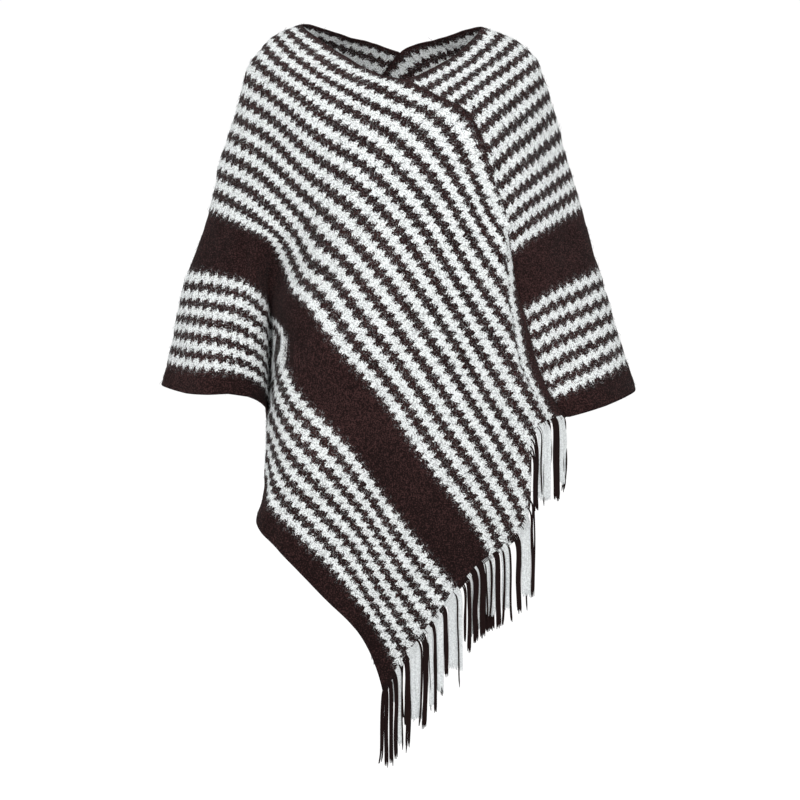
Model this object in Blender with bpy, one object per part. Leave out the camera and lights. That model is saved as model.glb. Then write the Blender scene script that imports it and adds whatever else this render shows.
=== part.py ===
"""Knitted poncho sweater: two equal striped panels, each sewn by its plain end to the other's neck-side edge.

Metres, +Z up, the front faces -Y. The origin is the middle of the neck, level with the shoulders.
Each panel is charted by two lengths of flat cloth: `along`, from its sewn end to its fringed end, and
`across`, from its neck-side edge to its hem.
"""

from collections import namedtuple

import bmesh
import bpy
import numpy as np

# Cut of one panel
PANEL_WIDTH = 0.550
NECK_RUN = 0.305
PANEL_LENGTH = NECK_RUN + PANEL_WIDTH
FRINGE_LENGTH = 0.098

# Thicknesses and clearances
KNIT_THICKNESS = 0.0024
FRINGE_THICKNESS = 0.0040
SEAM_GAP = 0.00045
FRINGE_GAP = 0.0008

# The front elevation that the guide lines are drawn on: its squares, its middle, and the eye it is drawn from
SQUARE = 0.0013
MIDDLE_COLUMN = 400
MIDDLE_LINE = 400
EYE_X = 0.0052
EYE_Z = -0.481
EYE_DISTANCE = 4.5

# Seam tuck of the right panel: cloth taken in beside the front seam, along the panel
EDGE_STRIP = 0.026
TUCK_MOUTH = 0.0050
TUCK_SWELL = 0.0030
Tuck = namedtuple("Tuck", "along taken_in")
FRONT_TUCK = (
    Tuck(0.575, 0.000),
    Tuck(0.600, 0.012),
    Tuck(0.630, 0.032),
    Tuck(0.670, 0.058),
    Tuck(0.735, 0.084),
    Tuck(0.770, 0.099),
    Tuck(0.855, 0.104),
)

# Hanging flutes of the left panel's free end, at the back
FLUTE_DEPTH = 0.020
FLUTE_PITCH = 0.150
FLUTE_START = 0.480

# Mesh density: strips across a panel beyond the tuck, along the neck run, and down the fringe
STRIPS_ACROSS = 17
STRIPS_ALONG_NECK = 12
FRINGE_ROWS = 2

# A guide line runs along a panel at a fixed distance across it. column and line are squares of the front
# elevation; depth is millimetres behind the shoulder line, so the front is negative.
Guide = namedtuple("Guide", "along column line depth")

RIGHT_GUIDES = {
    0.000: (
        Guide(0.000, 400, 53, 75),
        Guide(0.085, 352, 38, 45),
        Guide(0.165, 302, 26, 4),
        Guide(0.225, 344, 56, -45),
        Guide(0.268, 377, 74, -66),
        Guide(0.305, 404, 80, -82),
        Guide(0.360, 440, 97, -94),
        Guide(0.400, 465, 110, -102),
        Guide(0.445, 481, 135, -110),
        Guide(0.500, 492, 175, -113),
        Guide(0.555, 505, 214, -110),
        Guide(0.600, 526, 236, -112),
        Guide(0.670, 562, 272, -110),
        Guide(0.760, 595, 310, -104),
        Guide(0.855, 612, 372, -96),
    ),
    0.084: (
        Guide(0.000, 364, 102, 105),
        Guide(0.090, 305, 72, 66),
        Guide(0.175, 262, 49, 0),
        Guide(0.235, 297, 75, -50),
        Guide(0.305, 339, 103, -80),
        Guide(0.400, 397, 141, -108),
        Guide(0.500, 444, 194, -122),
        Guide(0.600, 481, 256, -124),
        Guide(0.670, 509, 297, -118),
        Guide(0.760, 541, 342, -108),
        Guide(0.855, 568, 404, -98),
    ),
    0.125: (
        Guide(0.000, 350, 129, 114),
        Guide(0.090, 291, 98, 72),
        Guide(0.175, 248, 70, 0),
        Guide(0.235, 281, 96, -48),
        Guide(0.305, 317, 126, -78),
        Guide(0.400, 371, 162, -110),
        Guide(0.500, 420, 212, -125),
        Guide(0.600, 457, 269, -127),
        Guide(0.670, 483, 309, -124),
        Guide(0.760, 517, 359, -112),
        Guide(0.800, 533, 388, -106),
        Guide(0.855, 550, 421, -100),
    ),
    0.162: (
        Guide(0.000, 337, 155, 120),
        Guide(0.090, 280, 121, 75),
        Guide(0.175, 241, 99, -2),
        Guide(0.235, 274, 121, -47),
        Guide(0.305, 308, 152, -76),
        Guide(0.400, 359, 188, -113),
        Guide(0.500, 403, 236, -128),
        Guide(0.600, 441, 290, -130),
        Guide(0.670, 466, 329, -128),
        Guide(0.760, 495, 377, -119),
        Guide(0.800, 513, 405, -112),
        Guide(0.855, 535, 434, -104),
    ),
    0.240: (
        Guide(0.000, 316, 210, 121),
        Guide(0.090, 262, 176, 78),
        Guide(0.180, 224, 154, 0),
        Guide(0.235, 257, 174, -44),
        Guide(0.305, 293, 208, -70),
        Guide(0.400, 340, 257, -112),
        Guide(0.500, 384, 312, -132),
        Guide(0.600, 426, 369, -134),
        Guide(0.670, 455, 410, -133),
        Guide(0.760, 490, 462, -128),
        Guide(0.800, 506, 488, -122),
        Guide(0.855, 527, 518, -112),
    ),
    0.350: (
        Guide(0.000, 298, 290, 110),
        Guide(0.090, 243, 262, 74),
        Guide(0.190, 202, 240, 0),
        Guide(0.247, 229, 249, -42),
        Guide(0.300, 255, 262, -56),
        Guide(0.355, 271, 284, -30),
        Guide(0.440, 288, 324, -84),
        Guide(0.485, 310, 359, -112),
        Guide(0.590, 363, 420, -130),
        Guide(0.700, 405, 480, -134),
        Guide(0.780, 442, 526, -130),
        Guide(0.855, 475, 571, -120),
    ),
    0.407: (
        Guide(0.000, 286, 335, 102),
        Guide(0.090, 232, 308, 73),
        Guide(0.190, 184, 287, 0),
        Guide(0.255, 225, 291, -46),
        Guide(0.295, 250, 299, -60),
        Guide(0.325, 263, 312, -48),
        Guide(0.385, 270, 340, -10),
        Guide(0.485, 281, 385, -86),
        Guide(0.525, 290, 404, -100),
        Guide(0.610, 338, 457, -124),
        Guide(0.710, 385, 520, -132),
        Guide(0.780, 414, 560, -128),
        Guide(0.855, 449, 601, -120),
    ),
    0.453: (
        Guide(0.000, 281, 362, 98),
        Guide(0.090, 222, 343, 72),
        Guide(0.193, 178, 319, 0),
        Guide(0.250, 203, 322, -44),
        Guide(0.300, 240, 330, -62),
        Guide(0.337, 262, 345, -50),
        Guide(0.405, 268, 385, 5),
        Guide(0.515, 277, 432, -84),
        Guide(0.560, 290, 456, -108),
        Guide(0.640, 330, 500, -124),
        Guide(0.700, 360, 534, -130),
        Guide(0.780, 394, 586, -128),
        Guide(0.855, 428, 630, -120),
    ),
    0.550: (
        Guide(0.000, 275, 400, 92),
        Guide(0.100, 212, 391, 68),
        Guide(0.195, 163, 385, 0),
        Guide(0.235, 183, 392, -30),
        Guide(0.274, 205, 394, -56),
        Guide(0.320, 240, 394, -62),
        Guide(0.358, 262, 403, -42),
        Guide(0.416, 269, 431, 5),
        Guide(0.455, 268, 457, -12),
        Guide(0.518, 264, 495, -50),
        Guide(0.575, 259, 529, -90),
        Guide(0.610, 275, 546, -108),
        Guide(0.700, 322, 595, -124),
        Guide(0.780, 362, 637, -122),
        Guide(0.855, 383, 690, -114),
    ),
}

# The front seam, which both panels share, along the right panel
FRONT_SEAM = (
    Guide(0.305, 404, 80, -82),
    Guide(0.360, 440, 97, -94),
    Guide(0.400, 465, 110, -102),
    Guide(0.445, 481, 135, -110),
    Guide(0.500, 492, 175, -113),
    Guide(0.555, 505, 214, -110),
    Guide(0.605, 510, 251, -104),
    Guide(0.655, 517, 289, -97),
    Guide(0.695, 524, 313, -92),
    Guide(0.760, 535, 357, -86),
    Guide(0.805, 547, 389, -82),
    Guide(0.855, 566, 417, -76),
)

LEFT_GUIDES = {
    0.000: (
        Guide(0.000, 404, 80, -82),
        Guide(0.075, 448, 60, -44),
        Guide(0.150, 482, 28, 2),
        Guide(0.230, 440, 39, 45),
        Guide(0.305, 400, 53, 75),
        Guide(0.366, 375, 86, 98),
        Guide(0.435, 350, 129, 114),
        Guide(0.504, 329, 178, 122),
        Guide(0.579, 311, 234, 119),
        Guide(0.655, 298, 290, 110),
        Guide(0.712, 286, 335, 102),
        Guide(0.785, 279, 372, 96),
        Guide(0.855, 275, 400, 92),
    ),
    0.084: (
        Guide(0.000, 458, 105, -100),
        Guide(0.075, 495, 78, -60),
        Guide(0.150, 532, 55, 0),
        Guide(0.215, 505, 73, 54),
        Guide(0.290, 460, 97, 86),
        Guide(0.385, 405, 138, 112),
        Guide(0.485, 362, 192, 128),
        Guide(0.585, 334, 250, 132),
        Guide(0.680, 316, 306, 124),
        Guide(0.775, 304, 370, 112),
        Guide(0.855, 295, 440, 102),
    ),
    0.162: (
        Guide(0.000, 486, 152, -113),
        Guide(0.075, 522, 123, -70),
        Guide(0.150, 549, 98, 0),
        Guide(0.210, 527, 115, 52),
        Guide(0.290, 488, 149, 82),
        Guide(0.385, 438, 192, 112),
        Guide(0.485, 395, 246, 130),
        Guide(0.585, 362, 300, 136),
        Guide(0.680, 338, 356, 132),
        Guide(0.775, 325, 415, 120),
        Guide(0.855, 314, 477, 110),
    ),
    0.240: (
        Guide(0.000, 503, 206, -111),
        Guide(0.075, 540, 182, -70),
        Guide(0.148, 567, 161, 0),
        Guide(0.210, 545, 174, 52),
        Guide(0.290, 508, 205, 78),
        Guide(0.385, 458, 256, 110),
        Guide(0.480, 415, 310, 128),
        Guide(0.575, 380, 365, 134),
        Guide(0.670, 356, 420, 132),
        Guide(0.770, 343, 470, 124),
        Guide(0.855, 333, 514, 116),
    ),
    0.350: (
        Guide(0.000, 517, 289, -97),
        Guide(0.070, 560, 266, -62),
        Guide(0.147, 592, 249, 0),
        Guide(0.210, 565, 257, 54),
        Guide(0.258, 536, 270, 62),
        Guide(0.325, 521, 295, 34),
        Guide(0.415, 506, 332, 92),
        Guide(0.470, 484, 367, 114),
        Guide(0.570, 446, 422, 128),
        Guide(0.680, 406, 482, 131),
        Guide(0.770, 379, 530, 125),
        Guide(0.855, 360, 567, 118),
    ),
    0.453: (
        Guide(0.000, 534, 356, -86),
        Guide(0.070, 578, 338, -60),
        Guide(0.142, 613, 320, 0),
        Guide(0.210, 590, 326, 58),
        Guide(0.250, 562, 333, 66),
        Guide(0.290, 539, 347, 50),
        Guide(0.365, 530, 386, 2),
        Guide(0.470, 519, 431, 86),
        Guide(0.520, 500, 464, 108),
        Guide(0.600, 465, 508, 122),
        Guide(0.700, 430, 556, 127),
        Guide(0.790, 402, 594, 122),
        Guide(0.855, 385, 616, 118),
    ),
    0.550: (
        Guide(0.000, 566, 417, -76),
        Guide(0.050, 600, 407, -72),
        Guide(0.134, 635, 389, 0),
        Guide(0.215, 600, 388, 64),
        Guide(0.267, 562, 391, 72),
        Guide(0.310, 539, 402, 50),
        Guide(0.385, 529, 434, -2),
        Guide(0.460, 528, 469, 50),
        Guide(0.525, 522, 501, 92),
        Guide(0.620, 485, 546, 114),
        Guide(0.720, 446, 594, 120),
        Guide(0.855, 408, 662, 112),
    ),
}

COLOURS = {
    "panel_right": (0.62, 0.60, 0.57),
    "panel_left": (0.62, 0.60, 0.57),
    "fringe_front": (0.70, 0.68, 0.65),
    "fringe_back": (0.70, 0.68, 0.65),
}
KNIT_ROUGHNESS = 0.95


def place(column, line, depth):
    """The point in metres where the eye's line through a square of the elevation reaches a depth in millimetres."""
    y = depth / 1000
    scale = SQUARE * (EYE_DISTANCE + y) / EYE_DISTANCE
    x = EYE_X + (column - MIDDLE_COLUMN) * scale
    z = EYE_Z + (MIDDLE_LINE - line) * scale
    return np.stack([x, y, z], axis=-1)


def smooth(knots, values, where):
    """A smooth curve through values at knots, read at each place in where."""
    knots = np.asarray(knots, float)
    values = np.asarray(values, float)
    slopes = np.gradient(values, knots, axis=0, edge_order=2)
    step = np.clip(np.searchsorted(knots, where, side="right") - 1, 0, len(knots) - 2)
    span = (knots[step + 1] - knots[step])[(...,) + (None,) * (values.ndim - 1)]
    t = (where - knots[step])[(...,) + (None,) * (values.ndim - 1)] / span
    start = (2 * t**3 - 3 * t**2 + 1) * values[step] + (t**3 - 2 * t**2 + t) * span * slopes[step]
    return start + (3 * t**2 - 2 * t**3) * values[step + 1] + (t**3 - t**2) * span * slopes[step + 1]


def unit(vectors):
    return vectors / np.maximum(np.linalg.norm(vectors, axis=-1, keepdims=True), 1e-9)


def ramp(value, start, stop):
    """0 before start, 1 after stop, and an even rise between them."""
    t = np.clip((value - start) / (stop - start), 0, 1)
    return t * t * (3 - 2 * t)


def line_points(rows, along):
    """Points of one guide line at the given lengths along the panel."""
    column, line, depth = (np.array([getattr(row, name) for row in rows], float) for name in Guide._fields[1:])
    return smooth([row.along for row in rows], place(column, line, depth), along)


def drawn_panel(guides, across, along):
    """The panel before its tuck: a smooth surface through its guide lines, indexed [across, along]."""
    lines = np.stack([line_points(rows, along) for rows in guides.values()])
    return smooth(list(guides), lines, across)


def tucked(panel, seam, across, along):
    """Takes in the cloth beside the front seam, so that a strip, a deep narrow fold and the rest follow in turn."""
    rows = [row.along for row in FRONT_TUCK]
    taken_in = np.interp(along, rows, [row.taken_in for row in FRONT_TUCK])
    result = panel.copy()
    for j in np.nonzero(taken_in > 0)[0]:
        crest_at = EDGE_STRIP + taken_in[j]
        crest = smooth(across, panel[:, j], np.array([crest_at]))[0]
        toward_seam = unit(seam[j] - crest)
        mouth = TUCK_MOUTH * min(1, taken_in[j] / (4 * TUCK_MOUTH))
        strip_end = crest + toward_seam * mouth
        depth = 0.5 * np.sqrt(max(taken_in[j] ** 2 - mouth**2, 0))
        swell = TUCK_SWELL * ramp(taken_in[j], 0.02, 0.08)
        in_strip = across <= EDGE_STRIP
        share = (across[in_strip] / EDGE_STRIP)[:, None]
        result[in_strip, j] = seam[j] + share * (strip_end - seam[j])
        in_fold = (across > EDGE_STRIP) & (across < crest_at)
        share = ((across[in_fold] - EDGE_STRIP) / taken_in[j])[:, None]
        depth_share = 1 - np.abs(2 * share - 1)
        sideways = (0.5 - share) * mouth + swell * np.sin(2 * np.pi * share)
        fold = 0.5 * (crest + strip_end) + toward_seam * sideways + np.array([0, depth, 0]) * depth_share
        result[in_fold, j] = fold
    return result


def fluted(panel, across, along):
    """Lets the free end hang in even flutes, front to back."""
    wave = np.sin(2 * np.pi * (across - 0.04) / FLUTE_PITCH)[:, None]
    edge = ramp(across, 0.0, 0.15)[:, None]
    swing = FLUTE_DEPTH * wave * edge * ramp(along, FLUTE_START, PANEL_LENGTH)[None, :]
    result = panel.copy()
    result[:, :, 1] += swing
    return result


def stations():
    """Lengths across a panel, and along it, at which the cloth is sampled. The seam pairs the two."""
    near_seam = np.array([0, 0.5 * EDGE_STRIP, EDGE_STRIP])
    fold = EDGE_STRIP + 0.1 * np.array([0.25, 0.5, 0.75])
    across = np.concatenate([near_seam, fold, np.linspace(0.125, PANEL_WIDTH, STRIPS_ACROSS + 1)])
    neck = np.linspace(0, NECK_RUN, STRIPS_ALONG_NECK + 1)
    return across, np.concatenate([neck[:-1], NECK_RUN + across])


def sewn_panels():
    """Middle surfaces of both panels, with each plain end laid along the other's edge."""
    across, along = stations()
    beyond_neck = along >= NECK_RUN - 1e-9
    right = drawn_panel(RIGHT_GUIDES, across, along)
    left = drawn_panel(LEFT_GUIDES, across, along)
    seam = line_points(FRONT_SEAM, np.maximum(along, NECK_RUN))
    right = tucked(right, seam, across, along)
    right[0, beyond_neck] = seam[beyond_neck]
    left = fluted(left, across, along)
    fade = 1 - ramp(along, 0, 0.12)
    left += fade[None, :, None] * (right[0, beyond_neck] - left[:, 0])[:, None, :]
    right += fade[None, :, None] * (left[0, beyond_neck] - right[:, 0])[:, None, :]
    return right, left, beyond_neck


def outward(panel):
    """Unit normals of a panel, pointing out of the garment."""
    return unit(np.cross(np.gradient(panel, axis=0), np.gradient(panel, axis=1)))


def share_seams(right, left, beyond_neck):
    """Gives the two panels one normal along each seam, and opens the seam gap between them."""
    right_out = outward(right)
    left_out = outward(left)
    front = unit(right_out[0, beyond_neck] + left_out[:, 0])
    back = unit(left_out[0, beyond_neck] + right_out[:, 0])
    right_out[0, beyond_neck] = front
    left_out[:, 0] = front
    left_out[0, beyond_neck] = back
    right_out[:, 0] = back
    for panel in (right, left):
        inward = unit(panel[1] - panel[0])
        from_end = unit(panel[:, 1] - panel[:, 0])
        panel[0, beyond_neck] += 0.5 * SEAM_GAP * inward[beyond_neck]
        panel[:, 0] += 0.5 * SEAM_GAP * from_end
    return right_out, left_out


def wall(name, middle, normals, thickness):
    """A closed wall about a grid of middle points, lofted because its edges lean with the seams."""
    rows, columns = middle.shape[:2]
    mesh = bpy.data.meshes.new(name)
    build = bmesh.new()
    sides = []
    for offset in (0.5 * thickness, -0.5 * thickness):
        points = middle + offset * normals
        sides.append([[build.verts.new(point) for point in row] for row in points])
    outer, inner = sides
    for i in range(rows - 1):
        for j in range(columns - 1):
            build.faces.new((outer[i][j], outer[i + 1][j], outer[i + 1][j + 1], outer[i][j + 1]))
            build.faces.new((inner[i][j], inner[i][j + 1], inner[i + 1][j + 1], inner[i + 1][j]))
    border = [(i, 0) for i in range(rows)]
    border += [(rows - 1, j) for j in range(1, columns)]
    border += [(i, columns - 1) for i in range(rows - 2, -1, -1)]
    border += [(0, j) for j in range(columns - 2, 0, -1)]
    for here, there in zip(border, border[1:] + border[:1]):
        (i, j), (k, l) = here, there
        build.faces.new((outer[k][l], outer[i][j], inner[i][j], inner[k][l]))
    bmesh.ops.recalc_face_normals(build, faces=build.faces)
    bmesh.ops.triangulate(build, faces=build.faces)
    build.to_mesh(mesh)
    build.free()
    mesh.shade_smooth()
    mesh.set_sharp_from_angle(angle=np.radians(50))
    return mesh


def fringe_curtain(panel, normals, across, skip_tuck):
    """Middle surface and normals of the fringe's reach, hung straight down from a panel's free end."""
    keep = np.ones(len(across), bool)
    if skip_tuck:
        keep = (across <= EDGE_STRIP) | (across >= 0.125)
    along = unit(panel[:, -1] - panel[:, -2])
    top = (panel[:, -1] + FRINGE_GAP * along)[keep]
    drop = np.array([0, 0, -FRINGE_LENGTH])
    shares = np.linspace(0, 1, FRINGE_ROWS + 1)
    middle = top[:, None] + shares[None, :, None] * drop
    out = np.repeat(normals[keep, -1][:, None], FRINGE_ROWS + 1, axis=1)
    out[:, 0] *= KNIT_THICKNESS / FRINGE_THICKNESS
    return middle, out


def knit_material(name):
    material = bpy.data.materials.new(name)
    material.use_nodes = True
    shader = material.node_tree.nodes["Principled BSDF"]
    shader.inputs["Base Color"].default_value = (*COLOURS[name], 1)
    shader.inputs["Roughness"].default_value = KNIT_ROUGHNESS
    shader.inputs["Metallic"].default_value = 0
    return material


def add_piece(collection, name, middle, normals, thickness):
    piece = bpy.data.objects.new(name, wall(name, middle, normals, thickness))
    piece.data.materials.append(knit_material(name))
    collection.objects.link(piece)


def main():
    for thing in list(bpy.data.objects):
        bpy.data.objects.remove(thing, do_unlink=True)
    collection = bpy.data.collections.new("Knitted poncho sweater")
    bpy.context.scene.collection.children.link(collection)
    right, left, beyond_neck = sewn_panels()
    right_out, left_out = share_seams(right, left, beyond_neck)
    across, _ = stations()
    add_piece(collection, "panel_right", right, right_out, KNIT_THICKNESS)
    add_piece(collection, "panel_left", left, left_out, KNIT_THICKNESS)
    front = fringe_curtain(right, right_out, across, skip_tuck=True)
    back = fringe_curtain(left, left_out, across, skip_tuck=False)
    add_piece(collection, "fringe_front", *front, FRINGE_THICKNESS)
    add_piece(collection, "fringe_back", *back, FRINGE_THICKNESS)


main()
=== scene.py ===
"""Knitted poncho sweater: striped knit panels, loose fibres and fringes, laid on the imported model.

Lengths are in metres. A panel is charted by `across`, from its neck-side edge to its hem, and by `along`,
from its sewn end to its fringed end. +Z is up and the front faces -Y.
"""

from collections import namedtuple
from functools import reduce

import bpy
import numpy as np
from bpy.props import FloatProperty, FloatVectorProperty, IntProperty, PointerProperty
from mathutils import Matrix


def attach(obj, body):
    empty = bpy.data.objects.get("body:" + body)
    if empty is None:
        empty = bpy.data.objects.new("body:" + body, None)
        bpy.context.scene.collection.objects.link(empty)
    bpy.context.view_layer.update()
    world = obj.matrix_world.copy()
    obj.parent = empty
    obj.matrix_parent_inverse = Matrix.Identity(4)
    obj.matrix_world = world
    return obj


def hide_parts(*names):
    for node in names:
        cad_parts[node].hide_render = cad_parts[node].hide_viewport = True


bl_info = {
    "name": "Knitted Poncho",
    "version": (1, 0, 0),
    "blender": (4, 5, 0),
    "location": "3D View > Sidebar > Poncho",
    "description": "Builds the striped knit, its loose fibres and its fringes on the packed poncho",
    "category": "Object",
}

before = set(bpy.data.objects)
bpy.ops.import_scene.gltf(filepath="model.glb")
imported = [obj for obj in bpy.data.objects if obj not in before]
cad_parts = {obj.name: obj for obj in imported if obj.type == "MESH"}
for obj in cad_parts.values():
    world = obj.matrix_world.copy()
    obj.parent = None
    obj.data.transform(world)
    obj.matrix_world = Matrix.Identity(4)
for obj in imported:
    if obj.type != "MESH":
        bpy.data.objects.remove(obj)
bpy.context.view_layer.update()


def table(row_type, *rows):
    """A table whose columns are the row type's names."""
    return tuple(row_type(*row) for row in rows)


# Cut of one panel
PANEL_WIDTH = 0.550
NECK_RUN = 0.305
PANEL_LENGTH = NECK_RUN + PANEL_WIDTH
KNIT_THICKNESS = 0.0024
SEAM_GAP = 0.00045

# The front elevation that the guide lines are drawn on:
# its squares, its middle, and the eye it is drawn from
SQUARE = 0.0013
MIDDLE_COLUMN = 400
MIDDLE_LINE = 400
EYE_X = 0.0052
EYE_Z = -0.481
EYE_DISTANCE = 4.5

# Seam tuck of the right panel: the strip between the front seam and the tuck, the tuck's depth across the
# panel where samples follow it, and how its crest laps the strip, stands above it and swells
EDGE_STRIP = 0.026
TUCK_DEEPEST = 0.100
TUCK_LAP = 0.0020
TUCK_STEP = 0.0034
TUCK_SWELL = 0.0030

# Cloth taken in over which the lap opens, the fold swells and its corners are rounded; then the stretch
# across the panel that is rounded, and how often
LAP_OPENS = (0, 0.02)
FOLD_SWELLS = (0.02, 0.08)
CORNERS_ROUND = (0.004, 0.03)
ROUNDED_STRETCH = (0.6 * EDGE_STRIP, 0.16)
TUCK_ROUNDING = 3

# Cloth that the tuck takes in, along the panel
Tuck = namedtuple("Tuck", "along taken_in")
FRONT_TUCK = table(
    Tuck,
    (0.575, 0.000), (0.600, 0.012), (0.630, 0.032), (0.670, 0.058), (0.735, 0.084), (0.770, 0.099),
    (0.855, 0.104),
)

# Neck band rolled under at the front seam, along the right panel
Roll = namedtuple("Roll", "along hidden")
BAND_ROLL = table(
    Roll,
    (0.350, 0.0000), (0.400, 0.0010), (0.457, 0.0035), (0.482, 0.0050), (0.510, 0.0085), (0.530, 0.0115),
    (0.620, 0.0120), (0.650, 0.0040), (0.680, -0.0050), (0.740, -0.0090), (0.800, -0.0100),
)

# Hanging flutes of the left panel's free end, at the back: their depth and pitch, where they start along
# the panel and across it, and how far from the seam they fade out
FLUTE_DEPTH = 0.020
FLUTE_PITCH = 0.150
FLUTE_START = 0.480
FLUTE_OFFSET = 0.04
FLUTE_FADE = 0.15

# How far from a seam the other panel's edge is followed, and how near to it creases fade out
JOIN_FADE = 0.12
SEAM_FADE = 0.03

# Power that a crease's two ends taper with
CREASE_TAPER = 0.7

# Striped chart: edges of the plain bands across a panel, and of the dark line at its sewn end
NECK_BAND = 0.012
SEWN_END = 0.0012
WIDE_BAND = (0.312, 0.389)
HEM_BAND = 0.517

# Stripes above and below the wide band: middle of the first pale one and half a repeat, how many dark
# ones each set has, and the dark share of a repeat
UPPER_STRIPES = (0.0190, 0.0130)
LOWER_STRIPES = (0.3952, 0.0115)
DARK_STRIPES = (11, 5)
DARK_SHARE = 0.520

# Teeth of the stripes: share of a tooth that rises, roundness of its tip, step and unevenness from one
# edge to the next in teeth, and how their pitch spreads from one place across the panel to another
TOOTH_RISE = 0.82
TOOTH_ROUNDING = 0.15
TOOTH_STEP = 0.20
TOOTH_UNEVEN = 0.12
TOOTH_SPREAD_PLACES = (0.20, 0.42)
TOOTH_SPREAD = (1.06, 0.94)

# How far columns of stitches may lean, as along over across, and how often the lean is smoothed
STEEPEST_LEAN = 2.5
LEAN_SMOOTHING = 12

# Mesh density: samples of the cloth in each stretch
STRIP_SAMPLES = 8
FOLD_SAMPLES = 16
CLOTH_STEP = 0.0038

# A guide line runs along a panel at a fixed distance across it. column and line are squares of the front
# elevation; depth is millimetres behind the shoulder line, so the front is negative.
Guide = namedtuple("Guide", "along column line depth")

RIGHT_GUIDES = {
    0.000: table(
        Guide,
        (0.000, 400, 53, 75), (0.085, 352, 38, 45), (0.165, 302, 26, 4), (0.225, 344, 56, -45),
        (0.268, 377, 74, -66), (0.305, 404, 80, -82), (0.360, 440, 97, -94), (0.400, 465, 110, -102),
        (0.445, 481, 135, -110), (0.500, 492, 175, -113), (0.555, 505, 214, -110), (0.600, 526, 236, -112),
        (0.670, 562, 272, -110), (0.760, 595, 310, -104), (0.855, 612, 372, -96),
    ),
    0.084: table(
        Guide,
        (0.000, 364, 102, 105), (0.090, 305, 72, 66), (0.175, 262, 49, 0), (0.235, 297, 75, -50),
        (0.305, 339, 103, -80), (0.400, 397, 141, -108), (0.500, 444, 194, -122), (0.600, 481, 256, -124),
        (0.670, 509, 297, -118), (0.760, 541, 342, -108), (0.855, 568, 404, -98),
    ),
    0.125: table(
        Guide,
        (0.000, 350, 129, 114), (0.090, 291, 98, 72), (0.175, 248, 70, 0), (0.235, 281, 96, -48),
        (0.305, 317, 126, -78), (0.400, 371, 162, -110), (0.500, 420, 212, -125), (0.600, 457, 269, -127),
        (0.670, 483, 309, -124), (0.760, 517, 359, -112), (0.800, 533, 388, -106), (0.855, 550, 421, -100),
    ),
    0.162: table(
        Guide,
        (0.000, 337, 155, 120), (0.090, 280, 121, 75), (0.175, 241, 99, -2), (0.235, 274, 121, -47),
        (0.305, 308, 152, -76), (0.400, 359, 188, -113), (0.500, 403, 236, -128), (0.600, 441, 290, -130),
        (0.670, 466, 329, -128), (0.760, 495, 377, -119), (0.800, 513, 405, -112), (0.855, 535, 434, -104),
    ),
    0.240: table(
        Guide,
        (0.000, 316, 210, 121), (0.090, 262, 176, 78), (0.180, 224, 154, 0), (0.235, 257, 174, -44),
        (0.305, 293, 208, -70), (0.400, 340, 257, -112), (0.500, 384, 312, -132), (0.600, 426, 369, -134),
        (0.670, 455, 410, -133), (0.760, 490, 462, -128), (0.800, 506, 488, -122), (0.855, 527, 518, -112),
    ),
    0.350: table(
        Guide,
        (0.000, 298, 290, 110), (0.090, 243, 262, 74), (0.190, 202, 240, 0), (0.247, 229, 249, -42),
        (0.300, 255, 262, -56), (0.355, 271, 284, -30), (0.440, 288, 324, -84), (0.485, 310, 359, -112),
        (0.590, 363, 420, -130), (0.700, 405, 480, -134), (0.780, 442, 526, -130), (0.855, 475, 571, -120),
    ),
    0.407: table(
        Guide,
        (0.000, 286, 335, 102), (0.090, 232, 308, 73), (0.190, 184, 287, 0), (0.255, 225, 291, -46),
        (0.295, 250, 299, -60), (0.325, 263, 312, -48), (0.385, 270, 340, -10), (0.485, 281, 385, -86),
        (0.525, 290, 404, -100), (0.610, 338, 457, -124), (0.710, 385, 520, -132), (0.780, 414, 560, -128),
        (0.855, 449, 601, -120),
    ),
    0.453: table(
        Guide,
        (0.000, 281, 362, 98), (0.090, 222, 343, 72), (0.193, 178, 319, 0), (0.250, 203, 322, -44),
        (0.300, 240, 330, -62), (0.337, 262, 345, -50), (0.405, 268, 385, 5), (0.515, 277, 432, -84),
        (0.560, 290, 456, -108), (0.640, 330, 500, -124), (0.700, 360, 534, -130), (0.780, 394, 586, -128),
        (0.855, 428, 630, -120),
    ),
    0.550: table(
        Guide,
        (0.000, 275, 400, 92), (0.100, 212, 391, 68), (0.195, 163, 385, 0), (0.235, 183, 392, -30),
        (0.274, 205, 394, -56), (0.320, 240, 394, -62), (0.358, 262, 403, -42), (0.416, 269, 431, 5),
        (0.455, 268, 457, -12), (0.518, 264, 495, -50), (0.575, 259, 529, -90), (0.610, 275, 546, -108),
        (0.700, 322, 595, -124), (0.780, 362, 637, -122), (0.855, 383, 690, -114),
    ),
}

# The front seam, which both panels share: the right panel's neck-side edge, and its own line beside the tuck
BESIDE_NECK = tuple(row for row in RIGHT_GUIDES[0.000] if NECK_RUN <= row.along < FRONT_TUCK[0].along)
FRONT_SEAM = BESIDE_NECK + table(
    Guide,
    (0.605, 510, 251, -104), (0.655, 517, 289, -97), (0.695, 524, 313, -92), (0.760, 535, 357, -86),
    (0.805, 547, 389, -82), (0.855, 566, 417, -76),
)

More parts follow.
